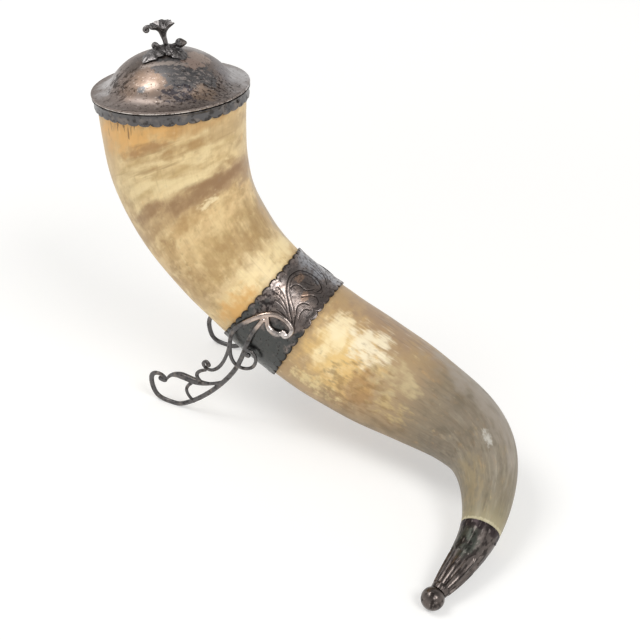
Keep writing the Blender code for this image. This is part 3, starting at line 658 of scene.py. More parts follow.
# Cattle horn, scraped and polished: growth bands across its length, cloudy cream and tan patches, brushed
# strokes along it, a grey-olive tip, and a low gloss. The ramp's places are millimetres from the mouth.
POLISHED_HORN = Finish(
    name="polished_cattle_horn",
    roughness=0.5,
    metallic=0.0,
    coordinates=Coordinates.GRAIN,
    ramp=(
        (0, "#D4B27A"), (10, "#D3B480"), (22, "#D9BC88"), (30, "#DEC592"), (40, "#D8BE8B"),
        (48, "#DBC08E"), (56, "#CBAD7F"), (64, "#CFB07E"), (76, "#DCBB85"), (86, "#DEBF8A"),
        (94, "#D2B27D"), (102, "#C9A977"), (110, "#CFB07C"), (118, "#DDC190"), (126, "#E6CA92"),
        (134, "#E4C388"), (160, "#C9A873"), (184, "#B8996E"), (205, "#BE9F74"), (225, "#BA996D"),
        (240, "#B29670"), (256, "#AB916C"), (266, "#A28A69"), (274, "#968266"), (284, "#8A7B64"),
        (296, "#807360"), (310, "#817563"), (325, "#847967"), (352, "#7F745E"), (362, "#8C8266"),
        (370, "#A39878"),
    ),
    ramp_sway=14.0,
    layers=(
        # Mottling of the pale part: cream and tan blots of several sizes.
        Layer("#B08C57", 15, 0.44, 0.66, 0.6, 86, Region((20, 0, 95), (120, 120, 130)), detail=5),
        Layer("#ECD29C", 8, 0.44, 0.66, 0.65, 77, Region((20, 10, 70), (120, 120, 200)), detail=5),
        Layer("#A27E4C", 9, 0.48, 0.7, 0.55, 88, Region((20, 10, 80), (120, 120, 200)), detail=5),
        Layer("#F0DBA7", 3.4, 0.54, 0.72, 0.4, 91, Region((20, 10, 90), (120, 120, 200)), detail=4),
        Layer("#9C7848", 4, 0.56, 0.74, 0.4, 94, Region((20, 10, 90), (120, 120, 200)), detail=4),
        # Amber under the collar, with short cracks.
        Layer("#E2AE66", 9, 0.12, 0.5, 0.9, 2, on_horn(1, 8, 52, 48, 18), detail=5, feather=0.12),
        Layer("#66431F", 1.7, 0.6, 0.67, 0.7, 41, on_horn(-2, 12, 60, 60, 17),
              detail=2, stretch=(1, 1, 0.12)),
        # Girth strokes above the brown growth ring, and the tan lines among them.
        Layer("#B8975F", 9, 0.4, 0.66, 0.65, 60, Region((24, 14, 34), (70, 70, 30)),
              detail=5, stretch=(0.4, 0.4, 1)),
        Layer("#EFD9A6", 8, 0.38, 0.66, 0.8, 3, Region((24, 14, 37), (70, 70, 30)),
              detail=5, stretch=(0.5, 0.5, 1)),
        Layer("#A07C4B", 4.5, 0.5, 0.66, 0.6, 62, Region((24, 14, 26), (70, 70, 24)),
              detail=5, stretch=(0.14, 0.14, 1)),
        Layer("#AA7F4C", 6, 0.12, 0.6, 0.85, 6, on_horn(15, 8, 18, 16, 5.2), feather=0.1),
        Layer("#A9834D", 6, 0.12, 0.6, 0.85, 7, on_horn(15, 42, 22, 20, 5.2), feather=0.1),
        # Darker amber round to the right of the collar's front.
        Layer("#BC925A", 7, 0.14, 0.6, 0.8, 1, on_horn(1, 62, 26, 20, 6.5), feather=0.1),
        Layer("#B39364", 8, 0.14, 0.6, 0.65, 9, on_horn(9, 76, 24, 22, 10), feather=0.1),
        # The next layer is painted shade: darker tan towards the near underside of the upper horn.
        Layer("#BFA073", 9, 0.14, 0.6, 0.6, 10, on_horn(24, -44, 22, 16, 34), detail=5),
        Layer("#B98C50", 5, 0.14, 0.58, 0.65, 4, on_horn(4, 33, 10, 9, 5), feather=0.1),
        Layer("#B39268", 9, 0.1, 0.6, 0.42, 14, Region((0, 0, 64), (EVERYWHERE, EVERYWHERE, 11)),
              detail=5, feather=0.2),
        Layer("#A58460", 8, 0.1, 0.58, 0.8, 15, on_horn(48, 88, 28, 26, 15), detail=4, feather=0.2),
        Layer("#93704A", 8, 0.06, 0.56, 0.9, 23, on_horn(47.5, 50, 46, 33, 10), detail=5, feather=0.15),
        Layer("#98744C", 8, 0.08, 0.54, 0.8, 29, on_horn(55, -4, 22, 17, 5.5), detail=5, feather=0.15),
        Layer("#F2DDAF", 3, 0.36, 0.58, 0.85, 31, on_horn(59, 52, 13, 13, 7),
              detail=4, stretch=(0.6, 0.6, 1)),
        # Cream clouds, brushed tan strokes and the bright strip above the band.
        Layer("#E9CB93", 9, 0.36, 0.66, 0.7, 5, on_horn(78, 40, 44, 44, 22), stretch=(1, 1, 0.7)),
        Layer("#B48E58", 7, 0.16, 0.6, 0.65, 11, on_horn(66, 30, 15, 15, 9), feather=0.1),
        Layer("#AA8850", 9, 0.26, 0.62, 0.62, 12, on_horn(100, 48, 48, 48, 21),
              stretch=(1, 1, 0.8), feather=0.22),
        Layer("#A98856", 6, 0.22, 0.6, 0.7, 17, on_horn(93, 86, 20, 20, 21),
              stretch=(1, 1, 0.7), feather=0.25),
        Layer("#B5A189", 10, 0.14, 0.58, 0.75, 8, on_horn(75, 125, 18, 18, 60), detail=4),
        Layer("#FBE4B0", 8, 0.16, 0.62, 0.95, 44, on_horn(127, 74, 46, 46, 17), feather=0.3),
        Layer("#DDA95F", 6, 0.14, 0.6, 0.85, 51, on_horn(135, 16, 24, 24, 15)),
        Layer("#A98653", 6, 0.24, 0.6, 0.5, 53, on_horn(113, -8, 20, 20, 22)),
        # Olive on the belly, darkened there as painted shade, and a mauve crown past the band.
        Layer("#74603F", 12, 0.14, 0.62, 0.75, 57, on_horn(245, -48, 36, 36, 90), detail=4),
        Layer("#A0866D", 9, 0.14, 0.6, 0.75, 59, on_horn(226, 108, 30, 30, 50)),
        Layer("#8A7460", 2.2, 0.44, 0.66, 0.6, 84, on_horn(244, 112, 26, 26, 74),
              detail=5, stretch=(1, 1, 0.14)),
        Layer("#CDBCA6", 1.6, 0.52, 0.7, 0.55, 87, on_horn(240, 108, 24, 24, 64),
              detail=4, stretch=(1, 1, 0.12)),
        # The bright cloud below the band, its gold fringe and the strokes that trail from it.
        Layer("#E9D49C", 4.5, 0.36, 0.62, 0.8, 61, on_horn(206, -4, 18, 18, 34), feather=0.15),
        Layer("#E2BD79", 9, 0.12, 0.56, 0.9, 63, on_horn(214, 38, 32, 32, 40), detail=7, feather=0.3),
        Layer("#F8E3B2", 8, 0.14, 0.62, 0.95, 65, on_horn(206, 46, 27, 27, 24), detail=7, feather=0.35),
        Layer("#E8C47F", 6, 0.16, 0.52, 0.85, 66, on_horn(213, 34, 13, 13, 11), detail=7, feather=0.2),
        Layer("#F8E6BC", 6, 0.14, 0.6, 0.9, 67, on_horn(200, 66, 14, 14, 12), detail=7, feather=0.3),
        Layer("#F5E8C8", 4, 0.24, 0.58, 0.9, 69, on_horn(227, 66, 22, 22, 26),
              stretch=(1, 1, 0.4), feather=0.45),
        Layer("#A8814F", 6, 0.16, 0.56, 0.8, 71, on_horn(237, 20, 20, 20, 14), feather=0.15),
        Layer("#CDBB8E", 5, 0.32, 0.66, 0.6, 73, on_horn(254, 46, 24, 24, 36),
              stretch=(1, 1, 0.6), feather=0.2),
        Layer("#CDB47C", 4, 0.38, 0.64, 0.6, 75, on_horn(260, 16, 20, 20, 28),
              stretch=(1, 1, 0.5), feather=0.2),
        Layer("#8A6A3E", 4, 0.42, 0.66, 0.6, 76, on_horn(235, 10, 50, 50, 60),
              stretch=(1, 1, 0.5), feather=0.3),
        # The grey end: dark and pale fibres, soft blots, a scar and a pale neck.
        Layer("#685D4B", 3, 0.4, 0.7, 0.38, 19, on_horn(294, 40, 90, 90, 60),
              stretch=(1, 1, 0.2), feather=0.3),
        Layer("#675D4B", 8, 0.42, 0.68, 0.6, 20, Region((0, 0, 322), (120, 120, 90))),
        Layer("#ABA28E", 5, 0.46, 0.72, 0.34, 23, Region((0, 0, 325), (120, 120, 90)),
              stretch=(1, 1, 0.4), feather=0.3),
        Layer("#5C5242", 1.6, 0.52, 0.74, 0.28, 24, Region((0, 0, 315), (120, 120, 90)),
              detail=4, stretch=(1, 1, 0.3)),
        Layer("#A08E68", 9, 0.3, 0.6, 0.5, 26, on_horn(340, 30, 30, 30, 34), detail=5),
        # The next layer lightens the grey end along its crown: paler grey horn with painted sheen.
        Layer("#A2988C", 10, 0.14, 0.6, 0.75, 79, on_horn(300, 110, 25, 25, 56), detail=5),
        Layer("#C4C0B6", 2.6, 0.24, 0.6, 0.75, 81, on_horn(319, 74, 6.5, 6.5, 8)),
        Layer("#C9BF9C", 3, 0.16, 0.56, 0.75, 83, Region((0, 0, 369.4), (EVERYWHERE, EVERYWHERE, 1.9)),
              detail=4),
        # Streaks on the far side, and fine fibres everywhere.
        Layer("#8C6E45", 7, 0.44, 0.68, 0.55, 96, on_horn(236, 190, 34, 40, 90),
              stretch=(1, 1, 0.35), feather=0.2),
        Layer("#E2C995", 5, 0.48, 0.68, 0.55, 98, on_horn(212, 200, 34, 40, 60),
              stretch=(1, 1, 0.5), feather=0.2),
        Layer("#8E7147", 0.9, 0.54, 0.8, 0.16, 97, detail=2, stretch=(1, 1, 0.06)),
    ),
    relief=0.06,
    relief_size=1.2,
    relief_stretch=(1.0, 1.0, 0.06),
    coat=0.15,
)

# Silver plate on brass, worn and tarnished: warm brown and scratched on the left, bare silver where it is
# handled, ragged slate tarnish in front and on the right, and dark pits, with a painted highlight and
# painted reflections on the brim and shoulders. Places are to the right, away and up.
LID_PLATE = Finish(
    name="worn_silver_plate",
    grit=0.62,
    colour="#8A7E77",
    roughness=0.45,
    metallic=1.0,
    coordinates=Coordinates.GRAIN,
    layers=(
        # Warm brown with fine scratches on the left, grey on the right.
        Layer("#917C6C", 14, 0.14, 0.58, 0.85, 5, Region((-9, -24, 12), (24, 24, 16)), detail=4),
        Layer("#8D898A", 12, 0.14, 0.58, 0.8, 7, Region((32, 8, 8), (22, 30, 20))),
        # The next three layers are pale silver on the rear brim and the shoulders: paler plate, lightened
        # further as a painted reflection.
        Layer("#CFCCCB", 8, 0.14, 0.6, 0.9, 3, Region((42, 12, 2), (20, 44, 8))),
        Layer("#CBC7C6", 8, 0.14, 0.6, 0.9, 4, Region((-35, 0, 7), (14, 30, 14))),
        Layer("#BDB8B5", 8, 0.16, 0.6, 0.8, 8, Region((14, 10, 20), (16, 14, 8))),
        Layer("#5E5651", 8, 0.14, 0.58, 0.8, 6, Region((-16, -10, 17), (10, 14, 9))),
        Layer("#655750", 1.1, 0.5, 0.72, 0.65, 9, Region((-12, -22, 13), (26, 20, 18)),
              detail=4, stretch=(0.1, 1, 1)),
        Layer("#D0BBA8", 0.8, 0.56, 0.74, 0.55, 10, Region((-10, -24, 12), (16, 14, 12)),
              detail=3, stretch=(0.08, 1, 1)),
        # Slate tarnish with a ragged edge, tan islands, and a broken fringe below.
        Layer("#706E6E", 6, 0.26, 0.36, 0.95, 13, Region((15, -21, 13), (24, 19, 17)),
              detail=8, roughness=0.5),
        Layer("#706E6E", 5, 0.26, 0.36, 0.95, 15, Region((4, -17, 19), (17, 11, 9)),
              detail=8, roughness=0.5),
        Layer("#525254", 4, 0.44, 0.62, 0.75, 16, Region((11, -21, 15), (22, 16, 14)),
              detail=7, roughness=0.5),
        Layer("#B5AAA4", 2, 0.51, 0.6, 0.8, 14, Region((16, -20, 14), (28, 24, 20)), stretch=(0.5, 1, 1)),
        Layer("#BCA598", 3.5, 0.26, 0.4, 0.9, 17, Region((16, -13, 18), (12, 8, 7)), detail=8),
        Layer("#B9A69A", 3.5, 0.26, 0.4, 0.9, 18, Region((18.5, -4, 19), (12, 9, 7)), detail=8),
        Layer("#45434A", 2.4, 0.44, 0.52, 0.85, 19, Region((12, -33, 7), (26, 13, 12)),
              detail=5, stretch=(0.7, 1, 1), roughness=0.5),
        Layer("#A7917F", 5, 0.2, 0.5, 0.85, 21, Region((23, -29, 5), (13, 9, 8))),
        # Dark smears on the left, one bare silver place, and pits, densest on the right and on the brim.
        Layer("#3E332D", 3, 0.44, 0.58, 0.85, 23, Region((-25, -17, 9), (25, 26, 20)),
              stretch=(0.6, 1, 1), roughness=0.5),
        # The next two layers are painted light round the left lamp's highlight: a darker patch above it and a
        # pale patch where it is brightest.
        Layer("#7F6C5E", 6, 0.14, 0.58, 0.75, 38, Region((-14, -23, 15.5), (9, 7, 6))),
        Layer("#C6B4A6", 6, 0.14, 0.62, 0.8, 39, Region((-7, -29.5, 11), (7, 5, 6)), roughness=0.38),
        Layer("#6C7175", 2, 0.2, 0.5, 0.85, 25, Region((-12.5, -30.4, 10), (4.6, 3.2, 3.4)),
              roughness=0.36),
        Layer("#C6B8AE", 2.5, 0.26, 0.48, 0.8, 35, Region((-1, -16.5, 19.5), (24, 3.6, 4))),
        Layer("#ABA09A", 5, 0.28, 0.58, 0.7, 31, Region((0, -20, 1.2), (60, 34, 5))),
        # The next layer is the flange's pale edge all round: bright worn plate, made paler still as a painted
        # highlight line.
        Layer("#E4DCD6", 6, 0.4, 0.5, 0.9, 37, Region((0, 0, 0.4), (EVERYWHERE, EVERYWHERE, 0.95)),
              detail=4, roughness=0.25),
        Layer("#362D2A", 1.6, 0.5, 0.6, 0.85, 27, Region((26, -24, 3), (52, 38, 20)),
              detail=4, stretch=(0.7, 1, 1), roughness=0.5),
        Layer("#3D322D", 2, 0.56, 0.64, 0.8, 28, Region((-4, -38, 2), (64, 22, 12)),
              detail=5, stretch=(0.7, 1, 1), roughness=0.5),
        Layer("#41362F", 1.9, 0.58, 0.66, 0.75, 29, detail=4, roughness=0.5),
        Layer("#D0C4BC", 1, 0.6, 0.7, 0.6, 33, detail=3, stretch=(0.4, 1, 1)),
    ),
    relief=0.03,
    relief_size=4.0,
)

# The same plate, dark all over: gunmetal with paler rubbed places, and painted highlights on the near foot's
# arch and curl.
DARK_PLATE = Finish(
    name="tarnished_silver_plate",
    colour="#626060",
    roughness=0.32,
    metallic=1.0,
    layers=(
        Layer("#8A817A", 6, 0.5, 0.66, 0.6, 2, detail=4),
        Layer("#3A3634", 3, 0.5, 0.64, 0.75, 17, detail=4, roughness=0.45),
        # Painted highlights on the near foot: the top of its arch and its curl.
        Layer("#CFBBAE", 9, 0.14, 0.54, 0.9, 19, Region((-28, 7, 99), (28, 16, 12)),
              detail=5, roughness=0.24),
        Layer("#E2D8D2", 4, 0.2, 0.54, 0.9, 21, Region((-12, 7, 91), (12, 12, 8)), detail=5, roughness=0.2),
    ),
    relief=0.04,
    relief_size=1.5,
)

# The same plate on the cast finial, a little paler and duller.
CAST_PLATE = Finish(
    name="cast_silver_plate",
    colour="#7C7877",
    roughness=0.4,
    metallic=1.0,
    layers=(
        Layer("#A7A29E", 3, 0.54, 0.72, 0.45, 3, detail=4),
        Layer("#3F3B3A", 2, 0.48, 0.64, 0.8, 18, detail=4, roughness=0.5),
    ),
    relief=0.05,
    relief_size=0.9,
)

# The same plate with cut scrolls: mauve above, peach where the plate is rubbed through, gunmetal below,
# darkened as a painted reflection.
BAND_PLATE = Finish(
    name="engraved_silver_plate",
    grit=0.6,
    colour="#7F7672",
    roughness=0.28,
    metallic=1.0,
    coordinates=Coordinates.GRAIN,
    layers=(
        Layer("#968880", 8, 0.44, 0.62, 0.8, 8, detail=4),
        Layer("#A3A4A8", 8, 0.2, 0.5, 0.85, 10, on_horn(160, 114, 19, 19, 34), detail=4),
        Layer("#BFA08A", 4, 0.28, 0.46, 0.85, 12, on_horn(153, 80, 6.5, 6.5, 4.5),
              detail=4, roughness=0.28),
        Layer("#B79A86", 4, 0.28, 0.46, 0.85, 14, on_horn(165, 68, 5.5, 5.5, 5), detail=4, roughness=0.28),
        Layer("#5E5450", 3, 0.48, 0.62, 0.7, 16, roughness=0.4),
        # Painted reflection: the lower half of the band is darker gunmetal.
        Layer("#4E504F", 7, 0.06, 0.3, 0.95, 21, Region((0, -22, 0), (EVERYWHERE, 46, EVERYWHERE)),
              detail=5),
        Layer("#2B2626", 3, 0.46, 0.56, 0.85, 27, on_horn(146, 42, 22, 22, 12), detail=5, roughness=0.5),
        Layer("#352E2B", 1.8, 0.58, 0.66, 0.8, 33, detail=4, roughness=0.5),
    ),
    relief=0.03,
    relief_size=2.5,
    engraving="#332E2C",
)

# Plate blackened in its hollows: brown-black with a greenish grey middle and a purple-brown rim.
CAP_PLATE = Finish(
    name="blackened_silver_plate",
    colour="#665E5A",
    roughness=0.28,
    metallic=1.0,
    coordinates=Coordinates.GRAIN,
    layers=(
        Layer("#4B4F48", 5, 0.16, 0.52, 0.9, 4, Region((5, 6, 384), (12, 12, 16)),
              detail=5, roughness=0.42),
        Layer("#3A3234", 4, 0.18, 0.48, 0.92, 11, Region((0, 0, 371), (EVERYWHERE, EVERYWHERE, 6)),
              detail=5, roughness=0.4),
        Layer("#211D1C", 3, 0.46, 0.62, 0.8, 25, stretch=(1, 1, 0.5), roughness=0.46),
        Layer("#968C87", 1.2, 0.58, 0.7, 0.5, 35, detail=4, stretch=(1, 1, 0.3)),
    ),
    relief=0.05,
    relief_size=1.4,
)


@dataclass
class HornLine:
    """The horn's bent axis, with a frame that doesn't twist: near side, crown and direction ahead.

    The stations give x, y, z and the outer radius from the mouth to the ball. The mouth is cut a little
    askew: its axis leans by mouth_lean for each millimetre up, which fades over lean_length. The radius
    goes on above the mouth at the rate of its first flare_samples.
    """

    stations: tuple[tuple[float, float, float, float], ...] = (
        (-99.8, 36.8, 214.0, 44.6),
        (-91.8, 34.5, 156.0, 41.0),
        (-50.9, 38.5, 97.9, 35.6),
        (20.5, 40.7, 58.5, 35.6),
        (94.7, 29.0, 44.0, 27.0),
        (125.2, 9.0, 31.5, 19.3),
        (135.2, -21.0, 18.9, 12.7),
        (133.6, -49.4, 11.7, 9.4),
        (127.2, -78.0, 6.3, 6.6),
    )
    mouth_lean: Point = (-0.055, -0.027, 0.0)
    lean_length: float = 40.0
    first_near: Point = (0.0, -1.0, 0.0)
    samples: int = 601
    flare_samples: int = 10

    def __post_init__(self) -> None:
        """Sample the axis and carry its frame along it."""
        rows = spline(self.stations, self.samples)
        self.centre = rows[:, :3]
        self.width = rows[:, 3]
        steps = np.linalg.norm(np.diff(self.centre, axis=0), axis=1)
        self.length = np.concatenate(([0.0], np.cumsum(steps)))
        self.end = float(self.length[-1])
        askew = 1.0 - smooth_step(self.length, 0.0, self.lean_length)
        self.ahead = unit(
            np.gradient(self.centre, self.length, axis=0) - askew[:, None] * np.array(self.mouth_lean))
        near = [np.array(self.first_near)]
        for direction in self.ahead:
            near.append(unit(near[-1] - (near[-1] @ direction) * direction))
        self.near = np.array(near[1:])
        self.crown = np.cross(self.near, self.ahead)

    def pick(self, values: Array, along: Array) -> Array:
        """Read a sampled vector at distances along the axis."""
        return np.stack([np.interp(along, self.length, values[:, k]) for k in range(3)], axis=-1)

    def radius(self, along: Array) -> Array:
        """The horn's outer radius; above the first station it goes on widening at the same rate."""
        flare = (self.width[0] - self.width[self.flare_samples]) / self.length[self.flare_samples]
        return np.interp(along, self.length, self.width) + flare * np.maximum(-along, 0.0)

    def point(self, along: Array, bearing: Array, radius: Array) -> Array:
        """Place points at centre + r (cos b near + sin b crown).

        Args:
            along: Distances from the first station towards the tip.
            bearing: Bearings from the near side towards the crown, in radians.
            radius: Distances from the axis.

        Returns:
            The points, in the shape that the three arrays broadcast to.
        """
        along, bearing, radius = np.broadcast_arrays(along, bearing, radius)
        centre = self.pick(self.centre, along)
        centre = centre + np.minimum(along, 0.0)[..., None] * self.pick(self.ahead, along)
        outward = np.cos(bearing)[..., None] * self.pick(self.near, along)
        outward = outward + np.sin(bearing)[..., None] * self.pick(self.crown, along)
        return centre + radius[..., None] * outward


@dataclass
class HornBody:
    """The natural horn: tenon in the cap, outer skin with slight swells, mouth edge and deep cavity.

    The tenon's rows are distances back from the ball and radii. A wave has a height, a length along the
    horn, turns round it and a start. The clear ranges say where the swells rise beside each mount.
    """

    line: HornLine
    material: bpy.types.Material
    wall: float = 2.5
    mouth_above: float = 5.9
    lip_round: float = 0.4
    cavity_straight: float = 262.0
    cavity_end: float = 352.0
    cap_edge: float = 53.2
    tenon: tuple[Pair, ...] = ((20.0, 0.0), (20.0, 6.1), (29.7, 7.7), (41.7, 9.1), (53.2, 10.5))
    swell: float = 0.35
    waves: tuple[tuple[float, float, float, float], ...] = (
        (1.0, 11.0, 2.0, 0.0), (0.8, 6.3, -1.0, 1.0), (0.6, 23.0, 3.0, 2.0))
    clear_of_collar: Pair = (6.0, 30.0)
    clear_of_band: Pair = (20.0, 40.0)
    clear_of_cap: Pair = (0.0, 25.0)
    columns: int = 144
    outer_rows: int = 300
    inner_rows: int = 90
    end_rows: int = 24

    def rings(self) -> tuple[Array, Array]:
        """Lay the rings from the tenon's end out to the mouth and into the cavity, whose end is round.

        Returns:
            Their distances along the horn, and their radii.
        """
        tenon = np.array(self.tenon)
        mouth = self.lip_round - self.mouth_above
        outer = np.linspace(self.line.end - self.cap_edge, mouth, self.outer_rows)
        outer_radius = self.line.radius(outer)
        outer_radius[0] -= self.lip_round
        depth = self.cavity_end - self.cavity_straight
        bottom = self.cavity_straight + np.sin(np.linspace(0.0, QUARTER, self.end_rows))[1:] * depth
        inner = np.concatenate((np.linspace(mouth, self.cavity_straight, self.inner_rows), bottom))
        closing = np.clip((inner - self.cavity_straight) / depth, 0.0, 1.0)
        inner_radius = (self.line.radius(inner) - self.wall) * np.sqrt(1.0 - closing**2)
        lip = self.line.radius(np.array(-self.mouth_above))
        lips = (lip - self.lip_round, lip - self.wall + self.lip_round)
        along = np.concatenate((self.line.end - tenon[:, 0], outer, np.full(2, -self.mouth_above), inner))
        return along, np.concatenate((tenon[:, 1], outer_radius, lips, inner_radius))

    def swelling(self, along: Array, bearing: Array) -> Array:
        """Slow swells of the outer skin: a mean of sines along and round it that vanishes under the mounts.

        Args:
            along: Distances from the mouth.
            bearing: Bearings in radians.

        Returns:
            How far the skin stands out.
        """
        clear = smooth_step(along, *self.clear_of_collar)
        clear = clear * smooth_step(np.abs(along - Band.middle), *self.clear_of_band)
        clear = clear * smooth_step(self.line.end - self.cap_edge - along, *self.clear_of_cap)
        total = sum(wave[0] for wave in self.waves)
        mean = sum(height * np.sin(along / length + turns * bearing + start)
                   for height, length, turns, start in self.waves) / total
        return self.swell * clear * mean

    def build(self) -> None:
        """Make the horn."""
        along, radius = self.rings()
        bearing = around(self.columns)
        outer = np.zeros(len(along))
        outer[len(self.tenon):len(self.tenon) + self.outer_rows] = 1.0
        swell = self.swelling(along[:, None], bearing) * outer[:, None]
        points = self.line.point(along[:, None], bearing, radius[:, None] + swell)
        mesh = make_mesh("horn", [points], grain=grain_of(along[:, None], bearing, GIRTH))
        add_piece(mesh, self.material, Body.HORN, "horn_body")


@dataclass
class RimCollar:
    """The folded collar over the mouth edge; heights are above the horn's first station.

    The face's rows go up its outside: height above the lower edge, distance out from the skin, and the
    share of the scallops' notches that lifts the row.
    """

    line: HornLine
    material: bpy.types.Material
    skirt: float = 45.35
    skin: float = 1.1
    top: float = 7.2
    bottom: float = 0.3
    face: tuple[Point, ...] = (
        (0.0, -0.25, 1.0), (0.25, 0.0, 1.0), (1.2, 0.12, 0.7), (2.6, 0.0, 0.25), (4.6, 0.0, 0.0),
        (5.6, 0.15, 0.0), (6.3, 0.8, 0.0), (6.75, 0.8, 0.0), (6.9, 0.5, 0.0))
    liner: float = 40.8
    liner_bottom: float = 0.8
    liner_skin: float = 0.8
    lip: float = 1.0
    lip_round: float = 0.4
    scallops: int = 40
    scallop_depth: float = 1.5
    steps: int = 14

    def build(self) -> None:
        """Make the collar: rings from the scalloped edge up over the lip, down the liner and back."""
        face = np.array(self.face) + (0.0, self.skirt + self.skin, 0.0)
        top = self.top - self.bottom
        low = self.liner_bottom - self.bottom
        under = top - self.lip
        back = self.liner + self.liner_skin
        inside = (
            (top, self.liner + self.lip_round, 0.0), (top - self.lip_round, self.liner, 0.0),
            (low, self.liner, 0.0), (low, back, 0.0), (under, back, 0.0), (under, self.skirt, 0.0),
            (0.0, self.skirt, 1.0))
        rings = np.concatenate((face, inside, face[:1]))
        bearing = around(self.scallops * self.steps)
        notch = self.scallop_depth * (1.0 - lobes(bearing, self.scallops))
        height = self.bottom + rings[:, :1] + notch * rings[:, 2:]
        mesh = make_mesh("rim_collar_look", [self.line.point(-height, bearing, rings[:, 1:2])])
        add_piece(mesh, self.material, Body.HORN, "rim_collar")


@dataclass
class Band:
    """The belly band with lobes along both edges, raised rims on them and scrolls cut into it.

    A stroke has points of distance from the mouth and bearing in degrees, and a width. The strokes are
    cut at each of the copies' bearings. The rims and the dark line go by distance from the lobes' edge.
    """

    middle: ClassVar[float] = 159.5

    line: HornLine
    material: bpy.types.Material
    length: float = 40.0
    stretch: float = 0.105
    inner_side: float = 70.0
    skin: float = 0.9
    gap: float = 0.45
    scallops: int = 34
    scallop_depth: float = 2.4
    notched_from: float = 0.6
    rim: float = 0.22
    rim_rise: Pair = (0.0, 1.0)
    rim_fall: Pair = (2.0, 4.5)
    dark_edge: Pair = (0.3, 1.5)
    dark_share: float = 0.75
    columns: int = 720
    rows: int = 124
    inner_rows: int = 9
    cut: float = 0.14
    cut_fade: Pair = (0.25, 0.9)
    cut_steps: int = 10
    copies: Pair = (0.0, 62.0)
    strokes: tuple[tuple[tuple[Pair, ...], float], ...] = (
        (((172, 34), (168, 42), (163, 47), (156, 55), (151, 61), (147, 70), (146, 77), (148, 86), (152, 91),
          (157, 94), (163, 94), (169, 90), (171, 86), (170, 81)), 0.80),
        (((171, 40), (165, 50), (158, 57), (153, 63), (149, 72), (149, 79), (152, 86), (157, 90), (163, 90),
          (167, 87)), 0.50),
        (((152, 66), (153, 71), (156, 74), (160, 74), (164, 76), (167, 81)), 0.60),
        (((163, 66), (167, 72), (171, 75), (175, 73), (176, 69)), 0.60),
        (((172, 38), (169, 46), (166, 52), (165, 57), (167, 62), (171, 64)), 0.60),
        (((172, 46), (170, 52), (171, 58), (174, 60)), 0.50),
        (((149, 47), (156, 47), (164, 43)), 0.50),
        (((146, 52), (152, 52), (159, 48)), 0.50),
        (((154, 41), (160, 41), (167, 38)), 0.50),
        (((144, 58), (149, 57), (154, 54)), 0.50),
        (((155, 78), (158, 81), (162, 82), (165, 85)), 0.45),
        (((165, 78), (170, 79), (173, 82), (172, 86)), 0.45),
    )

    def engraving(self, along: Array, bearing: Array) -> Array:
        """How deep the strokes cut at each place, from 0 to 1: a round groove by distance to the strokes.

        Args:
            along: Distances from the mouth.
            bearing: Bearings in radians, in the same shape.

        Returns:
            The depth in that shape.
        """
        depth = np.zeros(along.shape)
        full, end = self.cut_fade
        for copy in self.copies:
            for points, width in self.strokes:
                path = spline(points, self.cut_steps * len(points))
                turn = np.radians(path[:, 1] + copy)
                nearest = np.full(along.shape, np.inf)
                for at, way in zip(path[:, 0], turn):
                    aside = GIRTH * (np.mod(bearing - way + math.pi, TURN) - math.pi)
                    nearest = np.minimum(nearest, np.hypot(along - at, aside))
                depth = np.maximum(depth, 1.0 - smooth_step(nearest, full * width, end * width))
        return depth

    def lay_rows(self, share: Array, bearing: Array) -> tuple[Array, Array]:
        """Lay rows from edge to edge that follow the lobes, and lie further apart on the outer side.

        Args:
            share: Each row's place, from -1 at one edge to 1 at the other.
            bearing: Bearings in radians.

        Returns:
            Distances along the horn, and distances from the lobes' edge.
        """
        notch = self.scallop_depth * (1.0 - lobes(bearing, self.scallops))
        half = 0.5 * self.length
        place = share * half - np.sign(share) * notch * smooth_step(np.abs(share), self.notched_from, 1.0)
        longer = 1.0 + self.stretch * np.cos(bearing - math.radians(self.inner_side))
        return self.middle + place * longer, half - notch - np.abs(place)

    def build(self) -> None:
        """Make the band: an outer skin whose rows follow the scalloped edges, and an inner one."""
        bearing = around(self.columns)
        along, edge = self.lay_rows(np.linspace(-1.0, 1.0, self.rows)[:, None], bearing)
        rim = self.rim * smooth_step(edge, *self.rim_rise) * (1.0 - smooth_step(edge, *self.rim_fall))
        groove = self.engraving(along, np.broadcast_to(bearing, along.shape))
        width = self.line.radius(along) + self.gap + self.skin + rim - self.cut * groove
        outer = self.line.point(along, bearing, width)
        inner_along = self.lay_rows(np.linspace(1.0, -1.0, self.inner_rows)[:, None], bearing)[0]
        inner = self.line.point(inner_along, bearing, self.line.radius(inner_along) + self.gap)
        dark = np.maximum(groove, self.dark_share * (1.0 - smooth_step(edge, *self.dark_edge)))
        engraved = np.concatenate((dark, np.ones(inner.shape[:2]), dark[:1]))
        grain = grain_of(np.concatenate((along, inner_along, along[:1])), bearing, GIRTH)
        points = np.concatenate((outer, inner, outer[:1]))
        mesh = make_mesh("belly_band", [points], engraved=engraved.ravel(), grain=grain)
        add_piece(mesh, self.material, Body.HORN, "band_sleeve")


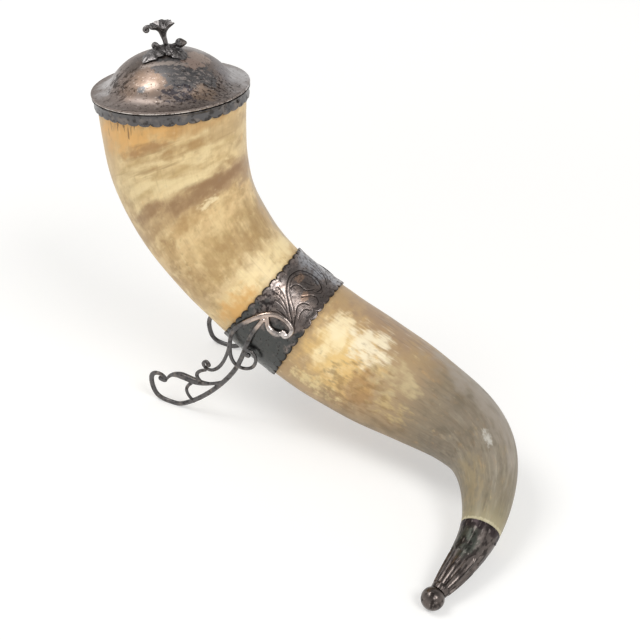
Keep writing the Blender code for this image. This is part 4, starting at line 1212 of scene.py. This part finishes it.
@dataclass
class TipCap:
    """The fluted cap on the horn's tip and its ball; distances run back from the ball's centre.

    The profile's rows are distances and radii. A flute's hollow is 1 - x to the power flute_power across
    it, and sinks in over two ranges at its arched top and its end.
    """

    line: HornLine
    material: bpy.types.Material
    profile: tuple[Pair, ...] = ((52.9, 11.9), (41.7, 10.5), (29.7, 9.1), (17.7, 7.5), (6.1, 5.2))
    skin: float = 0.9
    bore_end: float = 17.7
    flutes: int = 12
    flute_top: float = 33.0
    flute_arch: float = 3.6
    flute_end: float = 7.6
    flute_depth: float = 0.75
    flute_power: float = 2.2
    top_slope: Pair = (0.0, 1.6)
    end_slope: Pair = (-0.4, 1.4)
    ridge: float = 0.14
    ridge_side: Pair = (0.8, 1.0)
    ball_radius: float = 6.7
    ball_rows: int = 60
    ball_columns: int = 72
    socket: float = 7.0
    socket_inset: float = 0.3
    socket_rows: int = 6
    columns: int = 240
    rows: int = 120

    def build(self) -> None:
        """Make the cap: bore, outer skin with round-ended hollow flutes, and the ball's socket."""
        bearing = around(self.columns)
        outer = spline(self.profile, self.rows)
        across = np.abs(across_repeat(bearing, self.flutes))
        arch = self.flute_arch * (lobes(bearing, self.flutes) - 1.0)
        from_top = self.flute_top + arch - outer[:, :1]
        from_end = outer[:, :1] - self.flute_end
        inside = smooth_step(from_top, *self.top_slope) * smooth_step(from_end, *self.end_slope)
        hollow = self.flute_depth * inside * (1.0 - across**self.flute_power)
        ridge = self.ridge * inside * smooth_step(across, *self.ridge_side)
        skin = self.line.point(self.line.end - outer[:, :1], bearing, outer[:, 1:] - hollow + ridge)
        walls = [(at, width - self.skin) for at, width in self.profile[-2::-1]]
        bore = np.array([(self.bore_end, 0.0)] + walls)
        inner = self.line.point(self.line.end - bore[:, :1], bearing, bore[:, 1:])
        end, end_radius = self.profile[-1]
        seat = np.linspace(end_radius - self.socket_inset, 0.0, self.socket_rows)[:, None]
        cup = self.line.point(self.line.end - np.sqrt(self.socket**2 - seat**2), bearing, seat)
        back = np.concatenate((bore[:, 0], outer[:, 0], np.full(len(seat), end)))
        grain = grain_of(self.line.end - back[:, None], bearing, self.profile[1][1])
        mesh = make_mesh("tip_cap_look", [np.concatenate((inner, skin, cup))], grain=grain)
        add_piece(mesh, self.material, Body.HORN, "tip_cap")

    def build_ball(self) -> None:
        """Make the ball: a sphere whose points below the floor are drawn up to it."""
        turn = np.linspace(0.0, math.pi, self.ball_rows)[:, None]
        sphere = turned(np.concatenate((np.sin(turn), np.cos(turn)), axis=1), self.ball_columns)
        points = self.line.centre[-1] + self.ball_radius * sphere
        points[..., 2] = np.maximum(points[..., 2], 0.0)
        mesh = make_mesh("tip_ball_look", [points], grain=points.reshape(-1, 3))
        add_piece(mesh, self.material, Body.HORN, "tip_ball")


@dataclass
class Lid:
    """The domed lid with its bezel; heights are up the mouth's axis from the flange's underside.

    The profile and the edge are rows of radius and height. A dent wave has a length to the right, a
    length away and a start. The bezel's edges are rows of distance from its outer or inner face and
    height above its lower edge.
    """

    line: HornLine
    material: bpy.types.Material
    seat: float = 7.5
    skin: float = 1.5
    profile: tuple[Pair, ...] = (
        (47.0, 1.9), (42.9, 2.4), (37.1, 4.9), (32.7, 10.1), (24.4, 16.9), (13.0, 21.5), (0.0, 22.9))
    edge: tuple[Pair, ...] = ((47.35, 1.7), (47.45, 1.3), (47.4, 0.8), (47.2, 0.35), (46.8, 0.1))
    dent: float = 0.1
    dent_waves: tuple[Point, ...] = ((7.0, 11.0, 0.0), (-13.0, 6.0, 1.3), (17.0, 17.0, 0.6))
    dent_fade: Pair = (36.0, 44.0)
    bezel_outer: float = 40.3
    bezel_skin: float = 1.4
    bezel_top: float = 0.8
    bezel_bottom: float = -8.0
    bezel_outer_edge: tuple[Pair, ...] = ((0.0, 0.8), (-0.2, 0.2), (-0.6, 0.0))
    bezel_inner_edge: tuple[Pair, ...] = ((0.2, 0.0), (0.0, 0.2))
    bezel_drop: float = 3.0
    photo_turn: float = 26.7
    columns: int = 180
    rows: int = 70

    def __post_init__(self) -> None:
        """Set the lid's own frame: across to +X, away and up the mouth's axis."""
        up = -self.line.ahead[0]
        across = unit(np.array((1.0, 0.0, 0.0)) - up[0] * up)
        self.axes = np.stack((across, np.cross(up, across), up))
        self.origin = self.line.centre[0] + self.seat * up

    def place(self, points: Array) -> Array:
        """Carry points from the lid's frame to the whole frame."""
        return self.origin + points @ self.axes

    def place_facing(self, points: Array) -> Array:
        """Carry points from the lid's frame, turned so that +X is to the camera's right."""
        return self.place(rotated(points, self.photo_turn))

    def grain(self, points: Array) -> Array:
        """Pattern places of points in the lid's frame: to the right, away and up as the camera faces it."""
        return rotated(points, -self.photo_turn).reshape(-1, 3)

    def height_at(self, radius: Array) -> Array:
        """The dome's height at distances from its axis."""
        outline = spline(self.profile, self.rows)[::-1]
        return np.interp(radius, outline[:, 0], outline[:, 1])

    def dents(self, points: Array) -> Array:
        """Shallow dents from use: sums of sines across the lid that fade towards its flange.

        Args:
            points: Points in the lid's frame.

        Returns:
            How far each point is raised.
        """
        x, y = points[..., 0], points[..., 1]
        wave = sum(np.sin(x / right + y / away + start) for right, away, start in self.dent_waves)
        return self.dent * wave * (1.0 - smooth_step(np.hypot(x, y), *self.dent_fade))

    def build(self) -> None:
        """Make the lid: the outer skin from the top out, a round edge, and the skin's underside."""
        outer = spline(self.profile, self.rows)[::-1]
        slope = np.gradient(outer, axis=0)
        inner = outer + self.skin * unit(np.stack((slope[:, 1], -slope[:, 0]), axis=-1))
        inner[0, 0] = 0.0
        inner[:, 0] = np.maximum(inner[:, 0], 0.0)
        points = turned(np.concatenate((outer, self.edge, inner[::-1])), self.columns)
        points[..., 2] += self.dents(points)
        mesh = make_mesh("lid", [self.place(points)], grain=self.grain(points))
        add_piece(mesh, self.material, Body.LID, "lid_dome")

    def build_bezel(self) -> None:
        """Make the ring under the lid, with its lower edge rounded in.

        Its pattern places are drawn down by bezel_drop, clear of the flange's pale edge with its painted
        highlight line.
        """
        inner = self.bezel_outer - self.bezel_skin
        start = ((inner, self.bezel_top), (self.bezel_outer, self.bezel_top))
        outer_edge = np.array(self.bezel_outer_edge) + (self.bezel_outer, self.bezel_bottom)
        inner_edge = np.array(self.bezel_inner_edge) + (inner, self.bezel_bottom)
        points = turned(np.concatenate((start, outer_edge, inner_edge, start[:1])), self.columns)
        dropped = points - (0.0, 0.0, self.bezel_drop)
        mesh = make_mesh("lid_bezel_look", [self.place(points)], grain=self.grain(dropped))
        add_piece(mesh, self.material, Body.LID, "lid_bezel")


@dataclass(frozen=True)
class FootSide:
    """One foot: its solid, its side, how far its plane and its sole stand off, and its share of the wrap."""

    node: str
    side: float
    stand_off: float
    floor_off: float
    wrap: float


@dataclass
class ScrollFeet:
    """The two openwork feet: strands drawn flat, fused, bent round the band and leant to the floor.

    A strand has points of distance towards the tip and height above the floor, in the frame whose
    origin is the feet's own, and radii along it. The far foot's arch wraps less, so that it stays below
    the band's crown.
    """

    line: HornLine
    material: bpy.types.Material
    sides: tuple[FootSide, ...] = (
        FootSide("near_foot", -1.0, 39.3, 32.0, 1.0), FootSide("far_foot", 1.0, 39.3, 43.0, 0.74))
    origin: Point = (-27.8, 44.0, 0.0)
    flatten: float = 0.85
    grain: float = 0.3
    smoothing: int = 4
    columns: int = 12
    strand_steps: int = 14
    strands: tuple[Strand, ...] = (
        (((-79, 21), (-76, 20.5), (-76, 23.5), (-81.5, 25), (-87, 19.5), (-86.5, 7.5), (-81, 2),
          (-72, 1.2), (-62, 4.5), (-43, 20), (-23.5, 42.5), (-12, 62.5), (-3.5, 83.5), (4.5, 97)),
         (2.1, 1.3, 1.8, 1.85, 1.8, 1.75, 1.65, 1.4)),
        (((-6.5, 67.5), (-9, 69), (-5, 72), (-1, 67), (-4.5, 58), (-13.5, 55), (-19.5, 62.5),
          (-17.5, 80), (-9.5, 91), (7, 101), (19.5, 98.5), (23, 92.5), (19.5, 89), (18, 91.5)),
         (1.9, 1.2, 1.2, 1.3, 1.4, 1.7, 1.9, 1.4, 1.7)),
        (((7, 98.5), (8.5, 93), (13.5, 90), (19, 91.5)), (1.2, 1.9, 2.0, 1.1)),
        (((-19, 74.5), (-22, 64), (-28.5, 51), (-37, 44), (-42, 47), (-39.5, 50.5), (-38, 48)),
         (1.1, 1.2, 1.35, 1.2, 1.2, 1.8)),
        (((-27, 37.5), (-39, 31), (-51, 29), (-61, 30), (-69.5, 27.5), (-74.5, 21.5)),
         (1.2, 1.3, 2.8, 2.9, 1.5, 0.7)),
        (((-45.5, 29), (-48.5, 34), (-46.5, 39), (-41, 42.5)), (1.5, 1.4, 1.3, 1.2)),
        (((-52.5, 27.5), (-58, 21), (-58.5, 14.5), (-54.5, 9)), (1.3, 1.2, 1.2, 1.3)),
    )

    def flat(self) -> bpy.types.Mesh:
        """Fuse the strands in the plane that they are drawn in.

        Returns:
            The fused mesh.
        """
        grids = []
        for points, radii in self.strands:
            path = spline([(x, 0.0, z) for x, z in points], self.strand_steps * len(points))
            grids.append(tube(path, spread(radii, len(path)), self.columns, (0.0, 1.0, 0.0)))
        return cast_mesh("foot_flat", grids, self.grain, self.smoothing)

    def build(self) -> None:
        """Bend the fused strands round each side of the band and lean them to their floor place.

        Above the band's middle the strands wrap round it; below they hang straight and lean sideways in
        proportion to the depth. Points under the floor are drawn up to it.
        """
        flat = self.flat()
        at = np.array(Band.middle)
        middle = self.line.pick(self.line.centre, at) - self.origin
        ahead = unit(self.line.pick(self.line.ahead, at) * (1.0, 0.0, 1.0))
        rise = np.array((-ahead[2], 0.0, ahead[0]))
        points = mesh_points(flat)
        from_middle = (points - middle) * (1.0, 0.0, 1.0)
        along = from_middle @ ahead
        above = from_middle @ rise
        for foot in self.sides:
            reach = foot.stand_off + self.flatten * points[:, 1]
            turn = foot.wrap * np.maximum(above, 0.0) / foot.stand_off
            lift = np.minimum(above, 0.0) + reach * np.sin(turn)
            placed = middle + along[:, None] * ahead + lift[:, None] * rise
            depth = np.clip(1.0 - placed[:, 2] / middle[2], 0.0, None)
            lean = depth * (foot.floor_off - foot.stand_off)
            placed[:, 1] += foot.side * (reach * np.cos(turn) + lean)
            placed[:, 2] = np.maximum(placed[:, 2], 0.0)
            mesh = flat.copy()
            mesh.name = foot.node + "_look"
            move_points(mesh, placed + self.origin)
            add_piece(mesh, self.material, Body.HORN, foot.node)


@dataclass
class LeafCluster:
    """The cast leaves with their mound, stud, curls, bud stalk and berries, in the lid's frame.

    Each leaf has a bearing, a length and a width, the mound has rows of radius and height, and a strand
    has points and radii along it. A short strand is carried on stalk_side and a curl on curl_side.
    """

    lid: Lid
    material: bpy.types.Material
    leaves: tuple[Point, ...] = (
        (229.0, 18.8, 12.4), (314.0, 17.8, 11.6), (20.0, 9.8, 8.4), (96.0, 10.8, 8.6), (158.0, 10.2, 8.4))
    leaf_rows: int = 56
    leaf_columns: int = 36
    leaf_start: float = 1.0
    leaf_blunt: float = 0.16
    leaf_fullness: float = 0.6
    leaf_skin: float = 0.5
    teeth: float = 3.5
    tooth: float = 0.26
    rib_depth: float = 0.4
    rib_width: float = 0.55
    vein_depth: float = 0.12
    veins: float = 9.0
    vein_slant: float = 4.0
    clearance: float = 0.55
    hump: float = 1.3
    hump_flattening: float = 0.75
    stalk_rise: float = 2.0
    mound: tuple[Pair, ...] = (
        (0.0, 26.5), (2.0, 26.3), (3.6, 25.6), (4.8, 24.6), (5.6, 23.4), (1.8, 23.4), (1.8, 15.2),
        (0.0, 15.2))
    mound_columns: int = 40
    strands: tuple[Strand, ...] = (
        (((2.0, 0.0, 24.8), (4.4, -1.2, 25.8), (6.4, -2.1, 26.8)), (1.3, 1.2, 1.1)),
        (((-3.4, 0.0, 24.4), (-5.8, -0.4, 24.8), (-7.3, -0.6, 25.9), (-6.4, -0.8, 27.2), (-5.0, -0.8, 26.6)),
         (1.5, 1.2, 1.1, 1.1)),
        (((-2.6, -1.6, 25.4), (-3.9, -2.4, 26.2), (-4.6, -2.8, 27.0)), (1.0, 1.0, 1.1)),
        (((1.6, -3.0, 25.2), (2.5, -7.0, 25.1), (3.1, -10.8, 23.9)), (1.3, 1.1, 1.3)),
        (((2.3, -6.4, 25.3), (1.9, -8.6, 25.0)), (1.1, 1.2)),
        (((2.6, -6.8, 25.2), (4.2, -8.8, 24.6)), (1.0, 1.2)),
    )
    strand_rows: int = 24
    strand_columns: int = 14
    stalk_side: Point = (0.3, 0.2, 1.0)
    stalk_points: int = 3
    curl_side: Point = (0.0, 1.0, 0.0)
    grain: float = 0.2
    smoothing: int = 2

    def leaf(self, bearing: float, length: float, width: float) -> Array:
        """A leaf that lies along the dome, with a lens-shaped section, a toothed edge and sunken veins.

        Its height over the dome is a hump along its length, sin(pi v), that flattens towards the edges,
        and a rise of (1 - v)^3 towards the stalk, where v runs from the stalk to the tip.

        Args:
            bearing: The way it points, in degrees.
            length: From the axis to its tip.
            width: Across its middle.

        Returns:
            A closed grid in the finial's frame.
        """
        share = np.linspace(0.0, 1.0, self.leaf_rows)[:, None]
        angle = around(self.leaf_columns)
        teeth = 1.0 + self.tooth * (np.abs(np.sin(self.teeth * math.pi * share)) - 0.5)
        place = np.clip(self.leaf_blunt + (1.0 - self.leaf_blunt) * share, 0.0, 1.0)
        half = 0.5 * width * np.sin(math.pi * place) ** self.leaf_fullness * teeth
        across = half * np.cos(angle)
        out = self.leaf_start + share * (length - self.leaf_start)
        points = rotated(grid_of(out, across, 0.0), bearing)
        thick = self.leaf_skin * np.sin(angle) * np.sqrt(np.clip(2.0 * half / width, 0.0, 1.0))
        rib = self.rib_depth * np.exp(-(across / self.rib_width) ** 2)
        vein_place = self.veins * math.pi * share - self.vein_slant * np.abs(np.cos(angle))
        sunk = (rib + self.vein_depth * np.cos(vein_place)) * (np.sin(angle) > 0.0)
        hump = self.hump * np.sin(math.pi * share) * (1.0 - self.hump_flattening * np.cos(angle) ** 2)
        lift = self.clearance + hump + self.stalk_rise * (1.0 - share) ** 3
        dome = self.lid.height_at(np.hypot(points[..., 0], points[..., 1]))
        points[..., 2] = dome + lift + thick - sunk
        return points

    def build(self) -> None:
        """Make the leaf cluster, fused as a casting."""
        grids = [self.leaf(*leaf) for leaf in self.leaves]
        grids.append(turned(np.array(self.mound), self.mound_columns))
        for points, radii in self.strands:
            side = self.stalk_side if len(points) <= self.stalk_points else self.curl_side
            path = spline(points, self.strand_rows)
            grids.append(tube(path, spread(radii, self.strand_rows), self.strand_columns, side))
        mesh = cast_mesh("finial_leaf_cluster", grids, self.grain, self.smoothing)
        move_points(mesh, self.lid.place_facing(mesh_points(mesh)))
        add_piece(mesh, self.material, Body.LID, "finial_leaves")


@dataclass
class TrumpetFlower:
    """The flower: a ribbed tube that opens to ruffled lobes, and a petal rolled to the left.

    The outside and inside are rows of height above the bottom and radius. The rim's reach is
    r (1 + lobe cos 5b + fine_lobe cos 11b), and its height sways with cos 5b and cos 11b. One lobe, on
    the left, is longer.
    """

    lid: Lid
    material: bpy.types.Material
    bottom: float = 26.8
    outside: tuple[Pair, ...] = ((0.0, 1.4), (3.0, 1.55), (6.0, 2.1), (8.4, 3.3), (10.2, 5.0), (11.5, 6.4))
    outside_rows: int = 48
    inside: tuple[Pair, ...] = ((11.85, 6.3), (11.1, 5.0), (10.0, 3.2), (8.4, 1.4), (8.0, 0.0))
    inside_rows: int = 36
    columns: int = 180
    opening: Pair = (2.0, 6.0)
    ribs: float = 10.0
    rib: float = 0.035
    rib_rise: Pair = (1.0, 1.6)
    lobe_count: float = 5.0
    lobe: float = 0.12
    lobe_sway: float = 0.45
    fine_count: float = 11.0
    fine_lobe: float = 0.03
    fine_sway: float = 0.16
    fine_start: float = 0.7
    long_lobe: float = 0.3
    long_lobe_power: int = 6
    tilt: Point = (0.05, 0.09, -1.5)
    lean: float = 0.9
    lean_rise: Pair = (0.0, 6.0)
    petal: tuple[Point, ...] = (
        (-4.2, 0.0, 9.8), (-6.8, -0.4, 10.3), (-9.0, -0.6, 10.5), (-10.8, -0.7, 9.9), (-11.2, -0.8, 8.7),
        (-10.2, -0.8, 7.9), (-9.1, -0.8, 8.4), (-9.5, -0.7, 9.2))
    petal_widths: tuple[Pair, ...] = ((0.0, 0.9), (0.3, 1.1), (0.8, 0.9), (1.0, 0.7))
    petal_rows: int = 60
    petal_columns: int = 18
    petal_depth: float = 1.5

    def trumpet(self) -> Array:
        """Work out the tube and its lobes.

        Returns:
            A closed grid in the lid's frame.
        """
        rings = np.concatenate((
            ((0.0, 0.0),), spline(self.outside, self.outside_rows), spline(self.inside, self.inside_rows)))
        height, radius = rings[:, :1], rings[:, 1:]
        bearing = around(self.columns)
        opened = smooth_step(radius, *self.opening)
        ribs = self.rib * np.cos(self.ribs * bearing) * smooth_step(radius, *self.rib_rise)
        wide = np.cos(self.lobe_count * bearing)
        reach = self.lobe * wide + self.fine_lobe * np.cos(self.fine_count * bearing)
        leftward = np.clip(np.cos(bearing - math.pi), 0.0, 1.0)
        longer = self.long_lobe * opened * leftward**self.long_lobe_power
        reach = radius * (1.0 + opened * reach + ribs) * (1.0 + longer)
        x = reach * np.cos(bearing)
        y = reach * np.sin(bearing)
        sway = self.fine_sway * np.cos(self.fine_count * bearing + self.fine_start) - self.lobe_sway * wide
        right, away, along_lobe = self.tilt
        tilt = right * x + away * y + along_lobe * longer
        lean = self.lean * smooth_step(height, *self.lean_rise)
        return grid_of(x - lean, y, self.bottom + height + opened * (sway + tilt))

    def build(self) -> None:
        """Make the flower and its rolled petal as one piece."""
        path = spline(self.petal, self.petal_rows) + (0.0, 0.0, self.bottom)
        place, width = np.array(self.petal_widths).T
        radii = np.interp(np.linspace(0.0, 1.0, self.petal_rows), place, width)
        roll = tube(path, radii, self.petal_columns, (0.0, 1.0, 0.0)) * (1.0, self.petal_depth, 1.0)
        grids = [self.lid.place_facing(grid) for grid in (self.trumpet(), roll)]
        mesh = make_mesh("finial_trumpet", grids)
        add_piece(mesh, self.material, Body.LID, "finial_flower")


@dataclass
class Bud:
    """The bud beside the flower: a ball with shallow grooves, drawn out to a point on its right side."""

    lid: Lid
    material: bpy.types.Material
    centre: Point = (8.9, -3.4, 27.8)
    radius: float = 2.8
    tip: float = 1.3
    tip_power: int = 6
    grooves: int = 5
    groove: float = 0.05
    groove_power: int = 6
    rows: int = 48
    columns: int = 60

    def build(self) -> None:
        """Make the bud: rings along +X whose radius is that of a ball, less the grooves."""
        turn = np.linspace(0.0, math.pi, self.rows)[:, None]
        bearing = around(self.columns)
        along = -np.cos(turn)
        groove = 1.0 - self.groove * np.abs(np.cos(0.5 * self.grooves * bearing)) ** self.groove_power
        ring = self.radius * np.sin(turn) * groove
        x = self.radius * along + self.tip * np.clip(along, 0.0, 1.0) ** self.tip_power
        points = grid_of(x, ring * np.cos(bearing), ring * np.sin(bearing)) + self.centre
        mesh = make_mesh("finial_berry_bud", [self.lid.place_facing(points)])
        add_piece(mesh, self.material, Body.LID, "finial_bud")


@dataclass
class Studio:
    """The pale floor, two soft lights, the sky and the camera.

    A light has a name, a place, a side and a power in watts. The sky's strength falls from sky_edge at
    the horizon to sky_top at the height sky_rise of a unit direction. The share floor_share of the floor
    glows, from the first strength to the second between two distances in metres.
    """

    camera_place: Point = (256.8, -475.7, 483.2)
    camera_down: float = 34.857
    camera_left: float = 26.67
    camera_near: float = 10.0
    lens: float = 61.875
    sensor: float = 36.0
    floor_half: float = 6000.0
    floor_colour: str = "#F2F1EE"
    floor_roughness: float = 0.9
    floor_specular: float = 0.1
    floor_glow: Pair = (1.56, 2.15)
    floor_glow_reach: Pair = (0.2, 1.0)
    floor_share: float = 0.24
    sky_top: float = 0.28
    sky_edge: float = 1.0
    sky_rise: float = 0.9
    aim: Point = (0.0, 0.0, 100.0)
    lights: tuple[tuple[str, Point, float, float], ...] = (
        ("left_softbox", (-740.0, -260.0, 1550.0), 720.0, 11.2),
        ("right_softbox", (950.0, -450.0, 1150.0), 560.0, 8.4),
    )

    def build(self) -> None:
        """Set up the stage, the lights, the world and the camera."""
        self.build_floor()
        self.build_camera()
        self.build_world()
        for light in self.lights:
            self.build_light(*light)
        bpy.context.scene.view_settings.view_transform = "Standard"

    def build_floor(self) -> None:
        """Lay a white floor: for the eye and for mirrors a part of it glows, so that only shadows show on it.

        The glow grows with the distance from the middle, as the light on a sweep of card does.
        """
        half = self.floor_half * MM
        corners = [(-half, -half, 0.0), (half, -half, 0.0), (half, half, 0.0), (-half, half, 0.0)]
        mesh = bpy.data.meshes.new("floor")
        mesh.from_pydata(corners, [], [(0, 1, 2, 3)])
        material = bpy.data.materials.new("matt_white_card")
        material.use_nodes = True
        tree = material.node_tree
        add = functools.partial(add_node, tree)
        shader = tree.nodes["Principled BSDF"]
        shader.inputs["Base Color"].default_value = hex_to_linear(self.floor_colour)
        shader.inputs["Roughness"].default_value = self.floor_roughness
        shader.inputs["Specular IOR Level"].default_value = self.floor_specular
        ray = add("ShaderNodeLightPath").node.outputs
        seen = ray["Is Camera Ray"]
        for other in ("Is Glossy Ray", "Is Transmission Ray"):
            seen = add("ShaderNodeMath", {0: seen, 1: ray[other]}, operation="ADD")
        share = add("ShaderNodeMath", {0: seen, 1: self.floor_share}, operation="MULTIPLY")
        place = add("ShaderNodeTexCoord", output="Object")
        distance = add("ShaderNodeVectorMath", {0: place}, "Value", operation="LENGTH")
        inputs = dict(enumerate((distance, *self.floor_glow_reach, *self.floor_glow)))
        level = add("ShaderNodeMapRange", inputs, interpolation_type="SMOOTHSTEP")
        glow = add("ShaderNodeEmission", {"Strength": level})
        mix = add("ShaderNodeMixShader", {0: share, 1: shader.outputs[0], 2: glow})
        tree.links.new(mix, tree.nodes["Material Output"].inputs["Surface"])
        mesh.materials.append(material)
        stand("floor", mesh)

    def build_camera(self) -> None:
        """Stand the camera where the photograph was taken from."""
        data = bpy.data.cameras.new("camera")
        data.sensor_width = self.sensor
        data.lens = self.lens
        data.clip_start = self.camera_near * MM
        camera = stand("camera", data)
        camera.location = [value * MM for value in self.camera_place]
        camera.rotation_euler = (math.radians(90.0 - self.camera_down), 0.0, math.radians(self.camera_left))
        bpy.context.scene.camera = camera

    def build_world(self) -> None:
        """Surround the object with pale light that is brighter towards the horizon, as in a white tent."""
        world = bpy.data.worlds.new("sky")
        world.use_nodes = True
        tree = world.node_tree
        way = add_node(tree, "ShaderNodeTexCoord", output="Generated")
        height = add_node(tree, "ShaderNodeSeparateXYZ", {0: way}, 2)
        inputs = {0: height, 1: 0.0, 2: self.sky_rise, 3: self.sky_edge, 4: self.sky_top}
        level = add_node(tree, "ShaderNodeMapRange", inputs, interpolation_type="SMOOTHSTEP")
        back = tree.nodes["Background"]
        back.inputs["Color"].default_value = (1.0, 1.0, 1.0, 1.0)
        tree.links.new(level, back.inputs["Strength"])
        bpy.context.scene.world = world

    def build_light(self, name: str, place: Point, side: float, power: float) -> None:
        """Hang a square soft light that faces the object's middle.

        Args:
            name: Its name.
            place: Where it hangs.
            side: The length of its side.
            power: Its power in watts.
        """
        data = bpy.data.lights.new(name, "AREA")
        data.shape = "SQUARE"
        data.size = side * MM
        data.energy = power
        light = stand(name, data)
        light.location = [value * MM for value in place]
        x, y, z = np.array(self.aim) - np.array(place)
        light.rotation_euler = (math.atan2(math.hypot(x, y), -z), 0.0, math.atan2(y, x) - QUARTER)


def dress_solids(nodes: Mapping[str, bpy.types.Object], material: bpy.types.Material) -> None:
    """Give the small solids that stay in view, pins and the finial's fasteners, the dark plate.

    Args:
        nodes: The frame's solids by name.
        material: The dark plate.
    """
    for name, solid in nodes.items():
        if "_pin_" in name or name in ("finial_washer", "finial_nut"):
            solid.data.materials.clear()
            solid.data.materials.append(material)


def main() -> None:
    """Load the frame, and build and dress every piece."""
    logging.basicConfig(level=logging.INFO, format="%(name)s %(message)s")
    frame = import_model()
    Studio().build()
    line = HornLine()
    dark = MaterialMaker(DARK_PLATE).build()
    cast = MaterialMaker(CAST_PLATE).build()
    HornBody(line, MaterialMaker(POLISHED_HORN).build()).build()
    RimCollar(line, dark).build()
    Band(line, MaterialMaker(BAND_PLATE).build()).build()
    cap = TipCap(line, MaterialMaker(CAP_PLATE).build())
    cap.build()
    cap.build_ball()
    lid = Lid(line, MaterialMaker(LID_PLATE).build())
    lid.build()
    lid.build_bezel()
    ScrollFeet(line, dark).build()
    LeafCluster(lid, cast).build()
    TrumpetFlower(lid, cast).build()
    Bud(lid, dark).build()
    dress_solids(frame["nodes"], dark)


if __name__ == "__main__":
    main()
